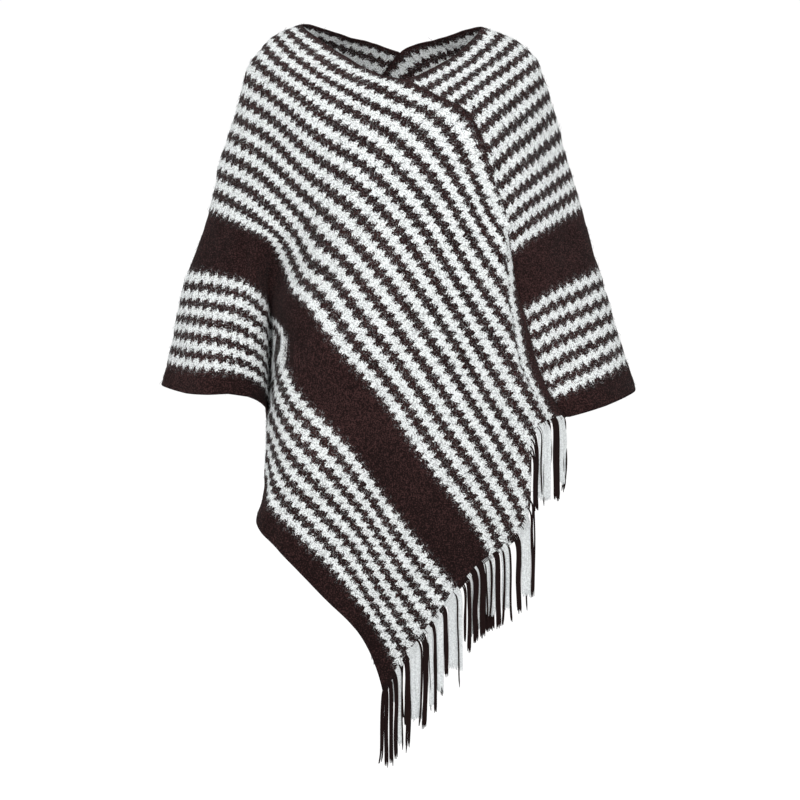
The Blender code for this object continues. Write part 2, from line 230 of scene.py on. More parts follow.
LEFT_GUIDES = {
    0.000: table(
        Guide,
        (0.000, 404, 80, -82), (0.075, 448, 60, -44), (0.150, 482, 28, 2), (0.230, 440, 39, 45),
        (0.305, 400, 53, 75), (0.366, 375, 86, 98), (0.435, 350, 129, 114), (0.504, 329, 178, 122),
        (0.579, 311, 234, 119), (0.655, 298, 290, 110), (0.712, 286, 335, 102), (0.785, 279, 372, 96),
        (0.855, 275, 400, 92),
    ),
    0.084: table(
        Guide,
        (0.000, 458, 105, -100), (0.075, 495, 78, -60), (0.150, 532, 55, 0), (0.215, 505, 73, 54),
        (0.290, 460, 97, 86), (0.385, 405, 138, 112), (0.485, 362, 192, 128), (0.585, 334, 250, 132),
        (0.680, 316, 306, 124), (0.775, 304, 370, 112), (0.855, 295, 440, 102),
    ),
    0.162: table(
        Guide,
        (0.000, 486, 152, -113), (0.075, 522, 123, -70), (0.150, 549, 98, 0), (0.210, 527, 115, 52),
        (0.290, 488, 149, 82), (0.385, 438, 192, 112), (0.485, 395, 246, 130), (0.585, 362, 300, 136),
        (0.680, 338, 356, 132), (0.775, 325, 415, 120), (0.855, 314, 477, 110),
    ),
    0.240: table(
        Guide,
        (0.000, 503, 206, -111), (0.075, 540, 182, -70), (0.148, 567, 161, 0), (0.210, 545, 174, 52),
        (0.290, 508, 205, 78), (0.385, 458, 256, 110), (0.480, 415, 310, 128), (0.575, 380, 365, 134),
        (0.670, 356, 420, 132), (0.770, 343, 470, 124), (0.855, 333, 514, 116),
    ),
    0.350: table(
        Guide,
        (0.000, 517, 289, -97), (0.070, 560, 266, -62), (0.147, 592, 249, 0), (0.210, 565, 257, 54),
        (0.258, 536, 270, 62), (0.325, 521, 295, 34), (0.415, 506, 332, 92), (0.470, 484, 367, 114),
        (0.570, 446, 422, 128), (0.680, 406, 482, 131), (0.770, 379, 530, 125), (0.855, 360, 567, 118),
    ),
    0.453: table(
        Guide,
        (0.000, 534, 356, -86), (0.070, 578, 338, -60), (0.142, 613, 320, 0), (0.210, 590, 326, 58),
        (0.250, 562, 333, 66), (0.290, 539, 347, 50), (0.365, 530, 386, 2), (0.470, 519, 431, 86),
        (0.520, 500, 464, 108), (0.600, 465, 508, 122), (0.700, 430, 556, 127), (0.790, 402, 594, 122),
        (0.855, 385, 616, 118),
    ),
    0.550: table(
        Guide,
        (0.000, 566, 417, -76), (0.050, 600, 407, -72), (0.134, 635, 389, 0), (0.215, 600, 388, 64),
        (0.267, 562, 391, 72), (0.310, 539, 402, 50), (0.385, 529, 434, -2), (0.460, 528, 469, 50),
        (0.525, 522, 501, 92), (0.620, 485, 546, 114), (0.720, 446, 594, 120), (0.855, 408, 662, 112),
    ),
}

# A soft trough in the cloth from one place to another, bowed
# sideways at its middle. A ridge has a depth below zero.
Crease = namedtuple("Crease", "across_start along_start across_end along_end bow width depth")

RIGHT_CREASES = table(
    Crease,
    (0.270, 0.258, 0.570, 0.318, 0.004, 0.016, 0.0055),
    (0.330, 0.325, 0.450, 0.335, 0.004, 0.008, -0.0022),
    (0.300, 0.473, 0.540, 0.740, 0.064, 0.026, 0.0060),
    (0.280, 0.720, 0.470, 0.830, 0.010, 0.020, 0.0035),
    (0.420, 0.470, 0.530, 0.520, -0.006, 0.009, -0.0025),
    (0.400, 0.440, 0.470, 0.475, 0.004, 0.007, 0.0022),
    (0.470, 0.560, 0.560, 0.600, 0.004, 0.014, 0.0030),
    (0.030, 0.330, 0.210, 0.520, -0.012, 0.022, 0.0018),
    (0.150, 0.560, 0.260, 0.760, 0.010, 0.024, 0.0022),
    (0.120, 0.225, 0.330, 0.215, 0.006, 0.018, 0.0016),
    (0.130, 0.790, 0.240, 0.870, 0.000, 0.011, -0.0020),
    (0.080, 0.040, 0.300, 0.110, 0.012, 0.022, 0.0040),
    (0.260, 0.010, 0.545, 0.070, -0.010, 0.026, 0.0055),
    (0.330, 0.120, 0.560, 0.150, 0.006, 0.018, 0.0040),
)

LEFT_CREASES = table(
    Crease,
    (0.380, 0.050, 0.560, 0.062, 0.003, 0.016, 0.0035),
    (0.240, 0.095, 0.420, 0.100, -0.004, 0.018, 0.0018),
    (0.300, 0.235, 0.565, 0.240, 0.004, 0.017, 0.0050),
    (0.060, 0.330, 0.260, 0.470, 0.016, 0.024, 0.0045),
    (0.200, 0.420, 0.480, 0.560, 0.030, 0.026, 0.0060),
    (0.120, 0.620, 0.330, 0.760, 0.010, 0.022, 0.0040),
    (0.380, 0.640, 0.560, 0.740, -0.012, 0.024, 0.0050),
    (0.400, 0.330, 0.520, 0.400, 0.006, 0.010, -0.0025),
)

# Stripes pulled out of line by bunched cloth: towards the neck side where the depth is above zero, and
# towards the hem where it is below
RIGHT_PUSHES = table(
    Crease,
    (0.335, 0.474, 0.425, 0.368, 0.000, 0.025, 0.032),
    (0.235, 0.340, 0.345, 0.425, 0.000, 0.024, -0.0110),
    (0.285, 0.300, 0.365, 0.315, 0.000, 0.035, 0.0085),
    (0.050, 0.195, 0.050, 0.365, 0.000, 0.026, -0.0080),
    (0.015, 0.168, 0.125, 0.172, 0.000, 0.024, 0.0060),
    (0.170, 0.862, 0.345, 0.862, 0.000, 0.028, -0.0120),
)
LEFT_PUSHES = table(
    Crease,
    (-0.020, 0.140, 0.130, 0.140, 0.000, 0.030, 0.0060),
    (0.080, 0.000, 0.540, 0.000, 0.000, 0.025, -0.0060),
)

# How much nearer the neck than on the right panel the left panel's stripes lie, across the panel
Shift = namedtuple("Shift", "across nearer")
LEFT_SHIFTS = table(
    Shift,
    (0.000, 0.0000), (0.050, 0.0005), (0.080, 0.0030), (0.160, 0.0036), (0.215, 0.0060), (0.245, 0.0088),
    (0.270, 0.0124), (0.312, 0.0160), (0.389, 0.0088), (0.430, 0.0066), (0.517, 0.0042), (0.550, 0.0040),
)

# How far the neck band curls over to the inner side, how soon, and where across the panel that fades out
NECK_BAND_CURL = 0.012
CURL_START = 0.03
CURL_FADE = (0.08, 0.25)

# Cloth length that closer stitches on the sleeves add to the chart, along a panel, and the share of it
# that the stripes below the wide band take
Packing = namedtuple("Packing", "along extra")
SLEEVE_PACKING = 0.0875
PACKING = {
    "right": table(
        Packing,
        (0.100, 0.0000), (0.150, 0.0100), (0.190, 0.0260), (0.230, 0.0470), (0.270, 0.0650),
        (0.310, 0.0782), (0.350, 0.0850), (0.400, SLEEVE_PACKING), (0.720, SLEEVE_PACKING), (0.760, 0.0895),
        (0.800, 0.0960), (0.855, 0.1070),
    ),
    "left": table(
        Packing,
        (0.000, 0.0000), (0.050, 0.0120), (0.090, 0.0230), (0.150, 0.0460), (0.250, 0.0720),
        (0.320, 0.0800),
    ),
}
LOWER_PACKING = {"right": 0.35, "left": -0.20}

# Slow unevenness of hanging knit: height, and repeats per metre across and along
Ripple = namedtuple("Ripple", "height across along phase")
RIPPLES = table(
    Ripple,
    (0.00045, 9.0, 14.0, 0.3),
    (0.00040, 21.0, -11.0, 1.7),
    (0.00028, -17.0, 31.0, 4.1),
    (0.00022, 43.0, 23.0, 2.6),
    (0.00016, 37.0, -52.0, 5.2),
)

# Hanging bundles of the front fringe, on the front elevation: middle column,
# width in squares, line of the tip, 1 for dark yarn, how far it lies behind
# the edge in millimetres, and sideways curl of its tip in squares
Bundle = namedtuple("Bundle", "column width tip dark behind curl")
FRONT_BUNDLES = table(
    Bundle,
    (382.6, 3.4, 763, 1, 0.0, -3.5),
    (386.4, 3.6, 767, 1, 0.8, -0.4),
    (391.0, 3.6, 764, 1, -0.4, 0.8),
    (396.0, 3.6, 758, 1, 0.4, 0.2),
    (399.8, 4.0, 744, 0, 1.6, 0.3),
    (402.4, 1.5, 748, 1, -0.8, -0.6),
    (408.2, 4.6, 745, 1, -0.4, -0.3),
    (406.4, 1.1, 754, 1, 0.8, -0.5),
    (416.0, 10.6, 720, 0, 1.0, 0.2),
    (425.4, 4.6, 729, 1, -0.6, -0.8),
    (421.6, 1.6, 724, 1, -1.2, -1.8),
    (429.2, 1.3, 710, 1, 0.8, 2.0),
    (431.0, 5.0, 706, 0, 1.2, 0.4),
    (435.2, 2.8, 711, 1, -0.4, 0.4),
    (440.2, 6.8, 692, 0, 1.2, 0.2),
    (440.6, 2.0, 696, 1, 2.6, 1.4),
    (446.0, 4.0, 676, 1, -0.6, 0.4),
    (455.6, 13.6, 670, 0, 1.0, 0.4),
    (458.0, 1.2, 687, 1, -1.8, 2.6),
    (465.6, 2.2, 641, 1, 0.4, -0.6),
    (469.6, 3.4, 651, 1, -0.6, -0.8),
    (472.6, 3.4, 636, 0, 2.8, 0.2),
    (475.8, 4.8, 642, 1, -0.4, -0.6),
    (479.4, 2.0, 630, 0, 2.4, 0.0),
    (482.9, 5.2, 637, 1, 0.0, -0.2),
    (490.4, 9.4, 616, 0, 1.0, 0.0),
    (486.8, 1.3, 618, 1, -1.0, 0.6),
    (491.6, 1.6, 617, 1, -1.2, -1.8),
    (489.6, 10.0, 630, 1, 3.6, 0.2),
    (498.4, 4.6, 627, 1, -0.2, -0.2),
    (506.4, 9.0, 609, 0, 1.2, 0.2),
    (504.4, 1.6, 627, 1, -0.8, -1.6),
    (510.6, 1.6, 623, 1, -0.8, 1.0),
    (518.6, 4.6, 612, 1, 0.0, 0.6),
    (526.0, 9.0, 596, 0, 1.2, 0.2),
    (525.4, 1.4, 612, 1, 2.4, 2.2),
    (533.0, 3.6, 598, 1, 0.4, 0.2),
    (536.2, 3.8, 510, 1, 0.6, 0.6),
    (545.0, 12.4, 500, 0, 2.0, 0.0),
    (541.6, 1.0, 496, 1, 0.6, 0.4),
    (543.4, 1.2, 506, 1, 3.4, 1.0),
    (550.8, 1.6, 465, 1, 0.4, -0.8),
    (556.4, 6.0, 499, 1, 0.6, 0.4),
    (562.8, 6.6, 483, 0, 0.6, -0.2),
    (566.2, 1.4, 489, 1, 0.2, -1.6),
    (564.4, 3.6, 491, 1, 2.6, -0.8),
)

# Bundles past this column hang from the strip between seam and tuck, and the others from clear of the tuck
CORNER_COLUMN = 549.5
CLEAR_OF_TUCK = 0.004

# How a yarn leaves the cloth: bend to its hanging line, slack taken up there, its points inside the knit,
# and lift off the knit's face
FRINGE_BEND = 0.006
YARN_SLACK = 0.0018
ROOT_POINTS = (-0.0040, -0.0016)
FRINGE_LIFT = 0.0012

# Points along a yarn, how much closer they stand near its root, and the thinning and start of its tip
YARN_POINTS = 20
POINT_CROWDING = 1.2
TIP_THINNING = 0.65
TIP_START = 0.94

# Sway that a bundle shares and waver of each yarn: least
# and most reach, and turns in radians from root to tip
SWAY_REACH = (0.0002, 0.0008)
SWAY_TURNS = (3, 9)
WAVER_REACH = (0.00005, 0.00030)
WAVER_TURNS = (9, 11)
TIP_CURLING = 5

# Least and most unevenness of front yarns: height of the
# tip in squares, depth, and share of the bundle's curl
FRONT_TIPS = (-2.5, 2.0)
FRONT_DEPTHS = (-0.0005, 0.0005)
FRONT_CURLS = (0.7, 1.3)

# Groups of yarns in the back fringe: their width, how full and how drawn together pale and dark ones are,
# and least and most unevenness from group to group and from yarn to yarn
BACK_GROUP = 0.013
Gather = namedtuple("Gather", "full drawn_in")
BACK_GATHERS = table(Gather, (0.75, 0.15), (0.50, 0.45))
GROUP_SHORTER = (0.0, 0.010)
GROUP_DRIFT = (0.0, 0.003)
GROUP_DEPTH = (-0.001, 0.0015)
BACK_TIPS = (0.0, 0.003)
BACK_CURLS = (-0.001, 0.003)

# Stitches: slant of a loop, and roundness of loop and leg
LOOP_SLANT = 1.3
LOOP_ROUND = 0.6
LEG_ROUND = 0.5

# Locks of brushed fibres: the ways they lie, in radians, and the height of the noise at which a lock starts
LOCK_WAYS = {"Pale": (0.5, -0.7, 1.5), "Dark": (-0.2, 1.1, -1.3)}
LOCK_START = 0.6

# Patterns in repeats per metre: grain of the yarn, clouds
# in the knit, slow change in the dark yarn, and plies
GRAIN = 640.0
CLOUDS = 45.0
SLOW_CHANGE = 7.0
PLIES = 190.0

# How much of each pattern shows in a yarn's tone beside
# its grain, and how much a dark lock darkens pale yarn
STITCH_TONE = 0.18
CLOUD_TONE = 0.12
SLOW_TONE = 0.25
LOCK_TONE = -1.5

# A yarn's tone: the range that runs from darkest to palest, and those two as shares of the yarn's own colour
Tone = namedtuple("Tone", "low high darkest palest")
PALE_TONE = Tone(-0.18, 0.06, 0.52, 1.12)
DARK_TONE = Tone(-0.05, 0.18, 0.45, 2.60)
LOOSE_TONE = Tone(-0.15, 0.15, 0.80, 1.12)
# Painted shade on the fringe: its pale and dark yarns are the knit's own yarns darkened to these shares
FRINGE_PAINTED_SHADE = (0.86, 0.65)

# Half the width in which a stripe's edge turns from pale to dark
EDGE_BLUR = 0.0003

# Locks that lie over the other colour: strength that hides nothing and most, the depths inside that
# colour between which the cover changes, and the cover at each
Cover = namedtuple("Cover", "lock inside share")
PALE_OVER_DARK = Cover((0.03, 0.10), (0.001, 0.009), (0.40, 0.0))
DARK_OVER_PALE = Cover((0.04, 0.11), (-0.007, -0.001), (0.0, 0.35))

# Relief beside the stitches' own height, and strength and distance of it all in knit and in loose yarn
GRAIN_RELIEF = 2.0
LOCK_RELIEF = 2.5
KNIT_RELIEF = (0.6, 0.0008)
YARN_RELIEF = (0.4, 0.0005)

# Loose fibres: reach of the dense strip beside a stripe's edge, sizes, and least and most turn on the cloth
EDGE_REACH = (0.0010, 0.0045)
FIBRE_SIZES = (0.45, 1.25)
LEAST_TURN = (1.05, -0.3, -3.14)
MOST_TURN = (1.50, 0.3, 3.14)

# One fibre: sideways bend and height of its middle as shares of its length, its root inside the cloth,
# the thickness left at its tip, and its sides and steps
FIBRE_BEND = 0.35
FIBRE_MIDDLE = 0.55
FIBRE_ROOT = (0.0, 0.0, -0.0004)
FIBRE_TIP = 0.25
FIBRE_SIDES = 3
FIBRE_STEPS = 2

# Seeds of each loose fibre's chance, turn and size
CHANCE_SEED, TURN_SEED, SIZE_SEED = 3, 5, 9

# Stage: floor, backdrop, and the places, sizes and turns of the two lights. Tilt and spread are in degrees.
FLOOR_RADIUS = 60
FLOOR_SIDES = 96
FLOOR_GREY = 0.50
FLOOR_ROUGHNESS = 0.9
BACKDROP = 1.02
KEY_SIZE = (4.2, 1.2)
KEY_PLACE = (0.05, -1.90, 0.38)
KEY_TILT = 71
FILL_SPREAD = 80
FILL_TURN = (-0.95, 0.25, 0.5)
VIEW_REACH = 200


def square_at(y):
    """How large a square of the elevation is seen at a distance behind the shoulder line."""
    return SQUARE * (EYE_DISTANCE + y) / EYE_DISTANCE


def place(column, line, depth):
    """The point in metres where the eye's line through a square of the elevation reaches a depth in mm."""
    y = depth / 1000
    x = EYE_X + (column - MIDDLE_COLUMN) * square_at(y)
    z = EYE_Z + (MIDDLE_LINE - line) * square_at(y)
    return np.stack([x, y, z], axis=-1)


def column_of(points):
    """Columns of the front elevation on which points are seen."""
    return MIDDLE_COLUMN + (points[:, 0] - EYE_X) / square_at(points[:, 1])


def smooth(knots, values, where):
    """A smooth curve through values at knots, read at each place in where."""
    knots = np.asarray(knots, float)
    values = np.asarray(values, float)
    slopes = np.gradient(values, knots, axis=0, edge_order=2)
    step = np.clip(np.searchsorted(knots, where, side="right") - 1, 0, len(knots) - 2)
    span = (knots[step + 1] - knots[step])[(...,) + (None,) * (values.ndim - 1)]
    t = (where - knots[step])[(...,) + (None,) * (values.ndim - 1)] / span
    start = (2 * t**3 - 3 * t**2 + 1) * values[step] + (t**3 - 2 * t**2 + t) * span * slopes[step]
    return start + (3 * t**2 - 2 * t**3) * values[step + 1] + (t**3 - t**2) * span * slopes[step + 1]


def unit(vectors):
    """Vectors made one long."""
    return vectors / np.maximum(np.linalg.norm(vectors, axis=-1, keepdims=True), 1e-9)


def ramp(value, start, stop):
    """0 before start, 1 after stop, and a soft rise between them."""
    t = np.clip((value - start) / (stop - start), 0, 1)
    return t * t * (3 - 2 * t)


def softer(values):
    """Every row but the first and the last, eased towards its neighbours."""
    return 0.25 * values[:-2] + 0.5 * values[1:-1] + 0.25 * values[2:]


def read_rows(rows, name, along):
    """One column of a table read at the given lengths along a panel."""
    return np.interp(along, [row.along for row in rows], [getattr(row, name) for row in rows])


def line_points(rows, along):
    """Points of one guide line at the given lengths along the panel."""
    lengths, column, line, depth = np.array(rows, float).T
    return smooth(lengths, place(column, line, depth), along)


def drawn_panel(guides, across, along):
    """The panel before its tuck: a smooth surface through its guide lines, indexed [across, along]."""
    lines = np.stack([line_points(rows, along) for rows in guides.values()])
    return smooth(list(guides), lines, across)


def tucked_column(column, seam, across, taken_in):
    """One column of the cloth with its tuck: a strip beside the seam, a deep narrow fold, and the rest."""
    crest_at = EDGE_STRIP + taken_in
    crest = smooth(across, column, np.array([crest_at]))[0]
    toward_seam = unit(seam - crest)
    started = ramp(taken_in, *LAP_OPENS)
    mouth = -TUCK_LAP * started
    strip_end = crest + toward_seam * mouth + np.array([0, TUCK_STEP * started, 0])
    depth = 0.5 * np.sqrt(max(taken_in**2 - mouth**2, 0))
    swell = TUCK_SWELL * ramp(taken_in, *FOLD_SWELLS)
    result = column.copy()
    in_strip = across <= EDGE_STRIP
    share = (across[in_strip] / EDGE_STRIP)[:, None]
    result[in_strip] = seam + share * (strip_end - seam)
    in_fold = (across > EDGE_STRIP) & (across < crest_at)
    share = ((across[in_fold] - EDGE_STRIP) / taken_in)[:, None]
    inward = np.array([0, depth, 0]) * (1 - np.abs(2 * share - 1))
    sideways = (0.5 - share) * mouth + swell * np.sin(2 * np.pi * share)
    result[in_fold] = 0.5 * (crest + strip_end) + toward_seam * sideways + inward
    return result


def tucked(panel, seam, across, along):
    """Takes in the cloth beside the front seam, and rounds the corners of its fold."""
    taken_in = read_rows(FRONT_TUCK, "taken_in", along)
    result = panel.copy()
    for j in np.nonzero(taken_in > 0)[0]:
        result[:, j] = tucked_column(panel[:, j], seam[j], across, taken_in[j])
    start, stop = ROUNDED_STRETCH
    rows = np.nonzero((across > start) & (across < stop))[0]
    weight = ramp(taken_in, *CORNERS_ROUND)[None, :, None]
    for _ in range(TUCK_ROUNDING):
        result[rows] += weight * (softer(result[rows[0] - 1 : rows[-1] + 2]) - result[rows])
    return result


def fluted(panel, across, along):
    """Lets the free end hang in even flutes, front to back."""
    wave = np.sin(2 * np.pi * (across - FLUTE_OFFSET) / FLUTE_PITCH) * ramp(across, 0.0, FLUTE_FADE)
    result = panel.copy()
    result[:, :, 1] += FLUTE_DEPTH * wave[:, None] * ramp(along, FLUTE_START, PANEL_LENGTH)[None, :]
    return result


def stations():
    """Lengths across a panel, and along it, at which the cloth is sampled. The seam pairs the two."""
    strip = np.linspace(0, EDGE_STRIP, STRIP_SAMPLES + 1)
    fold = EDGE_STRIP + TUCK_DEEPEST * np.arange(1, FOLD_SAMPLES) / FOLD_SAMPLES
    start = EDGE_STRIP + TUCK_DEEPEST
    open_cloth = np.linspace(start, PANEL_WIDTH, round((PANEL_WIDTH - start) / CLOTH_STEP) + 1)
    across = np.concatenate([strip, fold, open_cloth])
    neck = np.linspace(0, NECK_RUN, round(NECK_RUN / CLOTH_STEP) + 1)
    return across, np.concatenate([neck[:-1], NECK_RUN + across])


def outward(panel):
    """Unit normals of a panel, pointing out of the garment."""
    return unit(np.cross(np.gradient(panel, axis=0), np.gradient(panel, axis=1)))


def crease_depth(crease, across, along):
    """How far one crease sinks each point of the cloth."""
    run = np.array([crease.across_end - crease.across_start, crease.along_end - crease.along_start])
    length = np.hypot(*run)
    from_start = np.stack([across - crease.across_start, along - crease.along_start], axis=-1)
    share = np.clip(from_start @ run / length**2, 0, 1)
    aside = (from_start[..., 1] * run[0] - from_start[..., 0] * run[1]) / length
    aside = aside - crease.bow * 4 * share * (1 - share)
    ends = np.sin(np.pi * share) ** CREASE_TAPER
    return crease.depth * ends * np.exp(-((aside / crease.width) ** 2))


def creased(panel, creases, across, along):
    """Sinks the creases and ripples into a panel, leaving its seams where they are."""
    u, v = np.meshgrid(across, along, indexing="ij")
    sunk = sum(crease_depth(crease, u, v) for crease in creases)
    for ripple in RIPPLES:
        turns = ripple.across * u + ripple.along * v
        sunk = sunk + ripple.height * np.sin(2 * np.pi * turns + ripple.phase)
    held = ramp(v, 0, SEAM_FADE) * np.where(v < NECK_RUN, 1, ramp(u, 0, SEAM_FADE))
    return panel - outward(panel) * (sunk * held)[..., None]


def sewn_panels():
    """Middle surfaces and normals of both panels, with each plain end laid along the other's edge."""
    across, along = stations()
    sewn = along >= NECK_RUN - 1e-9
    seam = line_points(FRONT_SEAM, np.maximum(along, NECK_RUN))
    right = tucked(drawn_panel(RIGHT_GUIDES, across, along), seam, across, along)
    right[0, sewn] = seam[sewn]
    left = fluted(drawn_panel(LEFT_GUIDES, across, along), across, along)
    fade = 1 - ramp(along, 0, JOIN_FADE)[None, :, None]
    left += fade * (right[0, sewn] - left[:, 0])[:, None, :]
    right += fade * (left[0, sewn] - right[:, 0])[:, None, :]
    right = creased(right, RIGHT_CREASES, across, along)
    left = creased(left, LEFT_CREASES, across, along)
    right_out, left_out = outward(right), outward(left)
    right_out[0, sewn] = left_out[:, 0] = unit(right_out[0, sewn] + left_out[:, 0])
    left_out[0, sewn] = right_out[:, 0] = unit(left_out[0, sewn] + right_out[:, 0])
    for panel in (right, left):
        inward = unit(panel[1] - panel[0])
        from_end = unit(panel[:, 1] - panel[:, 0])
        panel[0, sewn] += 0.5 * SEAM_GAP * inward[sewn]
        panel[:, 0] += 0.5 * SEAM_GAP * from_end
    return (right, right_out), (left, left_out)


def stitch_lean(middle, across, along):
    """How far the guide lines lean, as along over across, so that teeth can stand square on a stripe."""
    down, forward = np.gradient(middle, across, axis=0), np.gradient(middle, along, axis=1)
    lean = (down * forward).sum(-1) / np.maximum((forward * forward).sum(-1), 1e-6)
    lean = np.clip(lean, -STEEPEST_LEAN, STEEPEST_LEAN)
    for _ in range(LEAN_SMOOTHING):
        lean[1:-1] = softer(lean)
        lean[:, 1:-1] = softer(lean.T).T
    return lean


def chart(middle, across, along, side):
    """Across, along and lean on the striped chart, whose first part the rolled band hides at the seam."""
    u, v = np.meshgrid(across, along, indexing="ij")
    if side == "right":
        u = u + sum(crease_depth(push, u, v) for push in RIGHT_PUSHES)
        hidden = read_rows(BAND_ROLL, "hidden", along)[None, :]
        u = np.where(u < EDGE_STRIP, hidden + u * (1 - hidden / EDGE_STRIP), u)
    else:
        nearer = smooth([row.across for row in LEFT_SHIFTS], [row.nearer for row in LEFT_SHIFTS], across)
        u = u + nearer[:, None] + sum(crease_depth(push, u, v) for push in LEFT_PUSHES)
    share = 1 + (LOWER_PACKING[side] - 1) * ramp(across, *WIDE_BAND)
    v = v + share[:, None] * read_rows(PACKING[side], "extra", along)[None, :]
    return np.stack([u, v, stitch_lean(middle, across, along)], axis=-1)


def chart_inside(cloth):
    """The chart on the inner side, where the neck band curls over its edge."""
    across = cloth[..., 0]
    inside = cloth.copy()
    inside[..., 0] += NECK_BAND_CURL * (1 - np.exp(-across / CURL_START)) * (1 - ramp(across, *CURL_FADE))
    return inside


def border_ring(rows, columns):
    """Grid places round the rim of a panel, in order."""
    ring = [(i, 0) for i in range(rows)]
    ring += [(rows - 1, j) for j in range(1, columns)]
    ring += [(i, columns - 1) for i in range(rows - 2, -1, -1)]
    return ring + [(0, j) for j in range(columns - 2, 0, -1)]


def grid_faces(rows, columns):
    """Four corners of each square of a grid of points numbered row by row."""
    i, j = np.meshgrid(np.arange(rows - 1), np.arange(columns - 1), indexing="ij")
    first = (i * columns + j).ravel()
    return np.stack([first, first + columns, first + columns + 1, first + 1], axis=-1)


def mesh_of(name, points, faces, cloth):
    """A smooth mesh whose UV map holds the cloth's own lengths, with its lean beside it."""
    mesh = bpy.data.meshes.new(name)
    mesh.from_pydata(points.tolist(), [], faces.tolist())
    corners = np.empty(len(mesh.loops), np.int32)
    mesh.loops.foreach_get("vertex_index", corners)
    layer = mesh.uv_layers.new(name="cloth")
    layer.data.foreach_set("uv", cloth[corners, :2].astype(np.float32).ravel())
    mesh.attributes.new("lean", "FLOAT", "POINT").data.foreach_set("value", cloth[:, 2].astype(np.float32))
    mesh.shade_smooth()
    return mesh


def knit_wall(name, middle, normals, cloth):
    """A closed wall about a panel's middle surface. Its free edges are rounded, and its seams are flat."""
    rows, columns = middle.shape[:2]
    count = rows * columns
    half = 0.5 * KNIT_THICKNESS
    outer = (middle + half * normals).reshape(-1, 3)
    inner = (middle - half * normals).reshape(-1, 3)
    ring = border_ring(rows, columns)
    at = np.array([i * columns + j for i, j in ring])
    inside = [(min(max(i, 1), rows - 2), min(max(j, 1), columns - 2)) for i, j in ring]
    edge = middle.reshape(-1, 3)[at]
    away = unit(edge - np.array([middle[i, j] for i, j in inside]))
    beyond_neck = columns - rows
    sewn = np.array([j == 0 or (i == 0 and j >= beyond_neck) for i, j in ring])
    rim = edge + away * np.where(sewn, 0, half)[:, None]
    squares = grid_faces(rows, columns)
    here, there = np.arange(len(ring)), np.roll(np.arange(len(ring)), -1)
    rim_at = 2 * count
    outer_rim = np.stack([at[there], at[here], rim_at + here, rim_at + there], axis=-1)
    inner_rim = np.stack([rim_at + there, rim_at + here, count + at[here], count + at[there]], axis=-1)
    faces = np.concatenate([squares, count + squares[:, ::-1], outer_rim, inner_rim])
    flat, inside = cloth.reshape(-1, 3), chart_inside(cloth).reshape(-1, 3)
    points = np.concatenate([outer, inner, rim])
    return mesh_of(name, points, faces, np.concatenate([flat, inside, flat[at]]))


def outer_face(name, middle, normals, cloth):
    """The outside of a panel alone, for loose fibres to stand on."""
    outer = (middle + 0.5 * KNIT_THICKNESS * normals).reshape(-1, 3)
    return mesh_of(name, outer, grid_faces(*middle.shape[:2]), cloth.reshape(-1, 3))


class Value:
    """One output of a node, which plain arithmetic can be written with."""

    def __init__(self, tree, socket):
        self.tree, self.socket = tree, socket

    def into(self, socket):
        """Feeds a socket."""
        self.tree.links.new(self.socket, socket)

    def do(self, operation, *others):
        """The result of a Math node that takes this value first."""
        return out(self.tree, "ShaderNodeMath", dict(enumerate((self, *others))), operation=operation)

    def mapped(self, low, high, to_low=0.0, to_high=1.0):
        """The value stretched from one range to another, and held at its ends."""
        names = ("Value", "From Min", "From Max", "To Min", "To Max")
        return out(self.tree, "ShaderNodeMapRange", dict(zip(names, (self, low, high, to_low, to_high))))

    def __add__(self, other):
        return self.do("ADD", other)

    def __sub__(self, other):
        return self.do("SUBTRACT", other)

    def __rsub__(self, other):
        return out(self.tree, "ShaderNodeMath", {0: other, 1: self}, operation="SUBTRACT")

    def __mul__(self, other):
        return self.do("MULTIPLY", other)

    def __truediv__(self, other):
        return self.do("DIVIDE", other)

    def __gt__(self, other):
        return self.do("GREATER_THAN", other)


def feed(socket, value):
    """Gives a socket a number, a colour or another node's value."""
    if isinstance(value, Value):
        value.into(socket)
    else:
        socket.default_value = value


def add_node(tree, kind, inputs=None, **settings):
    """A node with its settings and inputs."""
    node = tree.nodes.new(kind)
    for name, value in settings.items():
        setattr(node, name, value)
    for name, value in (inputs or {}).items():
        feed(node.inputs[name], value)
    return node


def out(tree, kind, inputs=None, output=0, **settings):
    """One output of a new node."""
    return Value(tree, add_node(tree, kind, inputs, **settings).outputs[output])


def new_group(name, kind, inputs, outputs):
    """A node group with its sockets named by their type. Returns its tree, inputs and outputs."""
    tree = bpy.data.node_groups.new(name, kind)
    for way, sockets in (("INPUT", inputs), ("OUTPUT", outputs)):
        for socket_type, labels in sockets.items():
            for label in labels:
                tree.interface.new_socket(label, in_out=way, socket_type=f"NodeSocket{socket_type}")
    given = {socket.name: Value(tree, socket) for socket in tree.nodes.new("NodeGroupInput").outputs}
    return tree, given, tree.nodes.new("NodeGroupOutput").inputs


def place_group(tree, group, inputs):
    """The outputs of a group placed in another tree."""
    node = add_node(tree, tree.bl_idname.replace("Tree", "Group"), node_tree=group)
    for name, value in inputs.items():
        feed(node.inputs[name], value)
    return {socket.name: Value(tree, socket) for socket in node.outputs}


def on_cloth(tree, cloth_map):
    """Across and along, read from the cloth's own map."""
    place_of = add_node(tree, "ShaderNodeSeparateXYZ", {"Vector": cloth_map}).outputs
    return {"Across": Value(tree, place_of["X"]), "Along": Value(tree, place_of["Y"])}


def tooth(along, pitch, shift):
    """Rises slowly and falls sharply, from -0.5 to 0.5, once in each pitch along the stripe."""
    phase = (along / pitch + shift).do("FRACT")
    fall = (1.0 - phase) / (1 - TOOTH_RISE)
    return (phase / TOOTH_RISE).do("SMOOTH_MIN", fall, TOOTH_ROUNDING) - 0.5


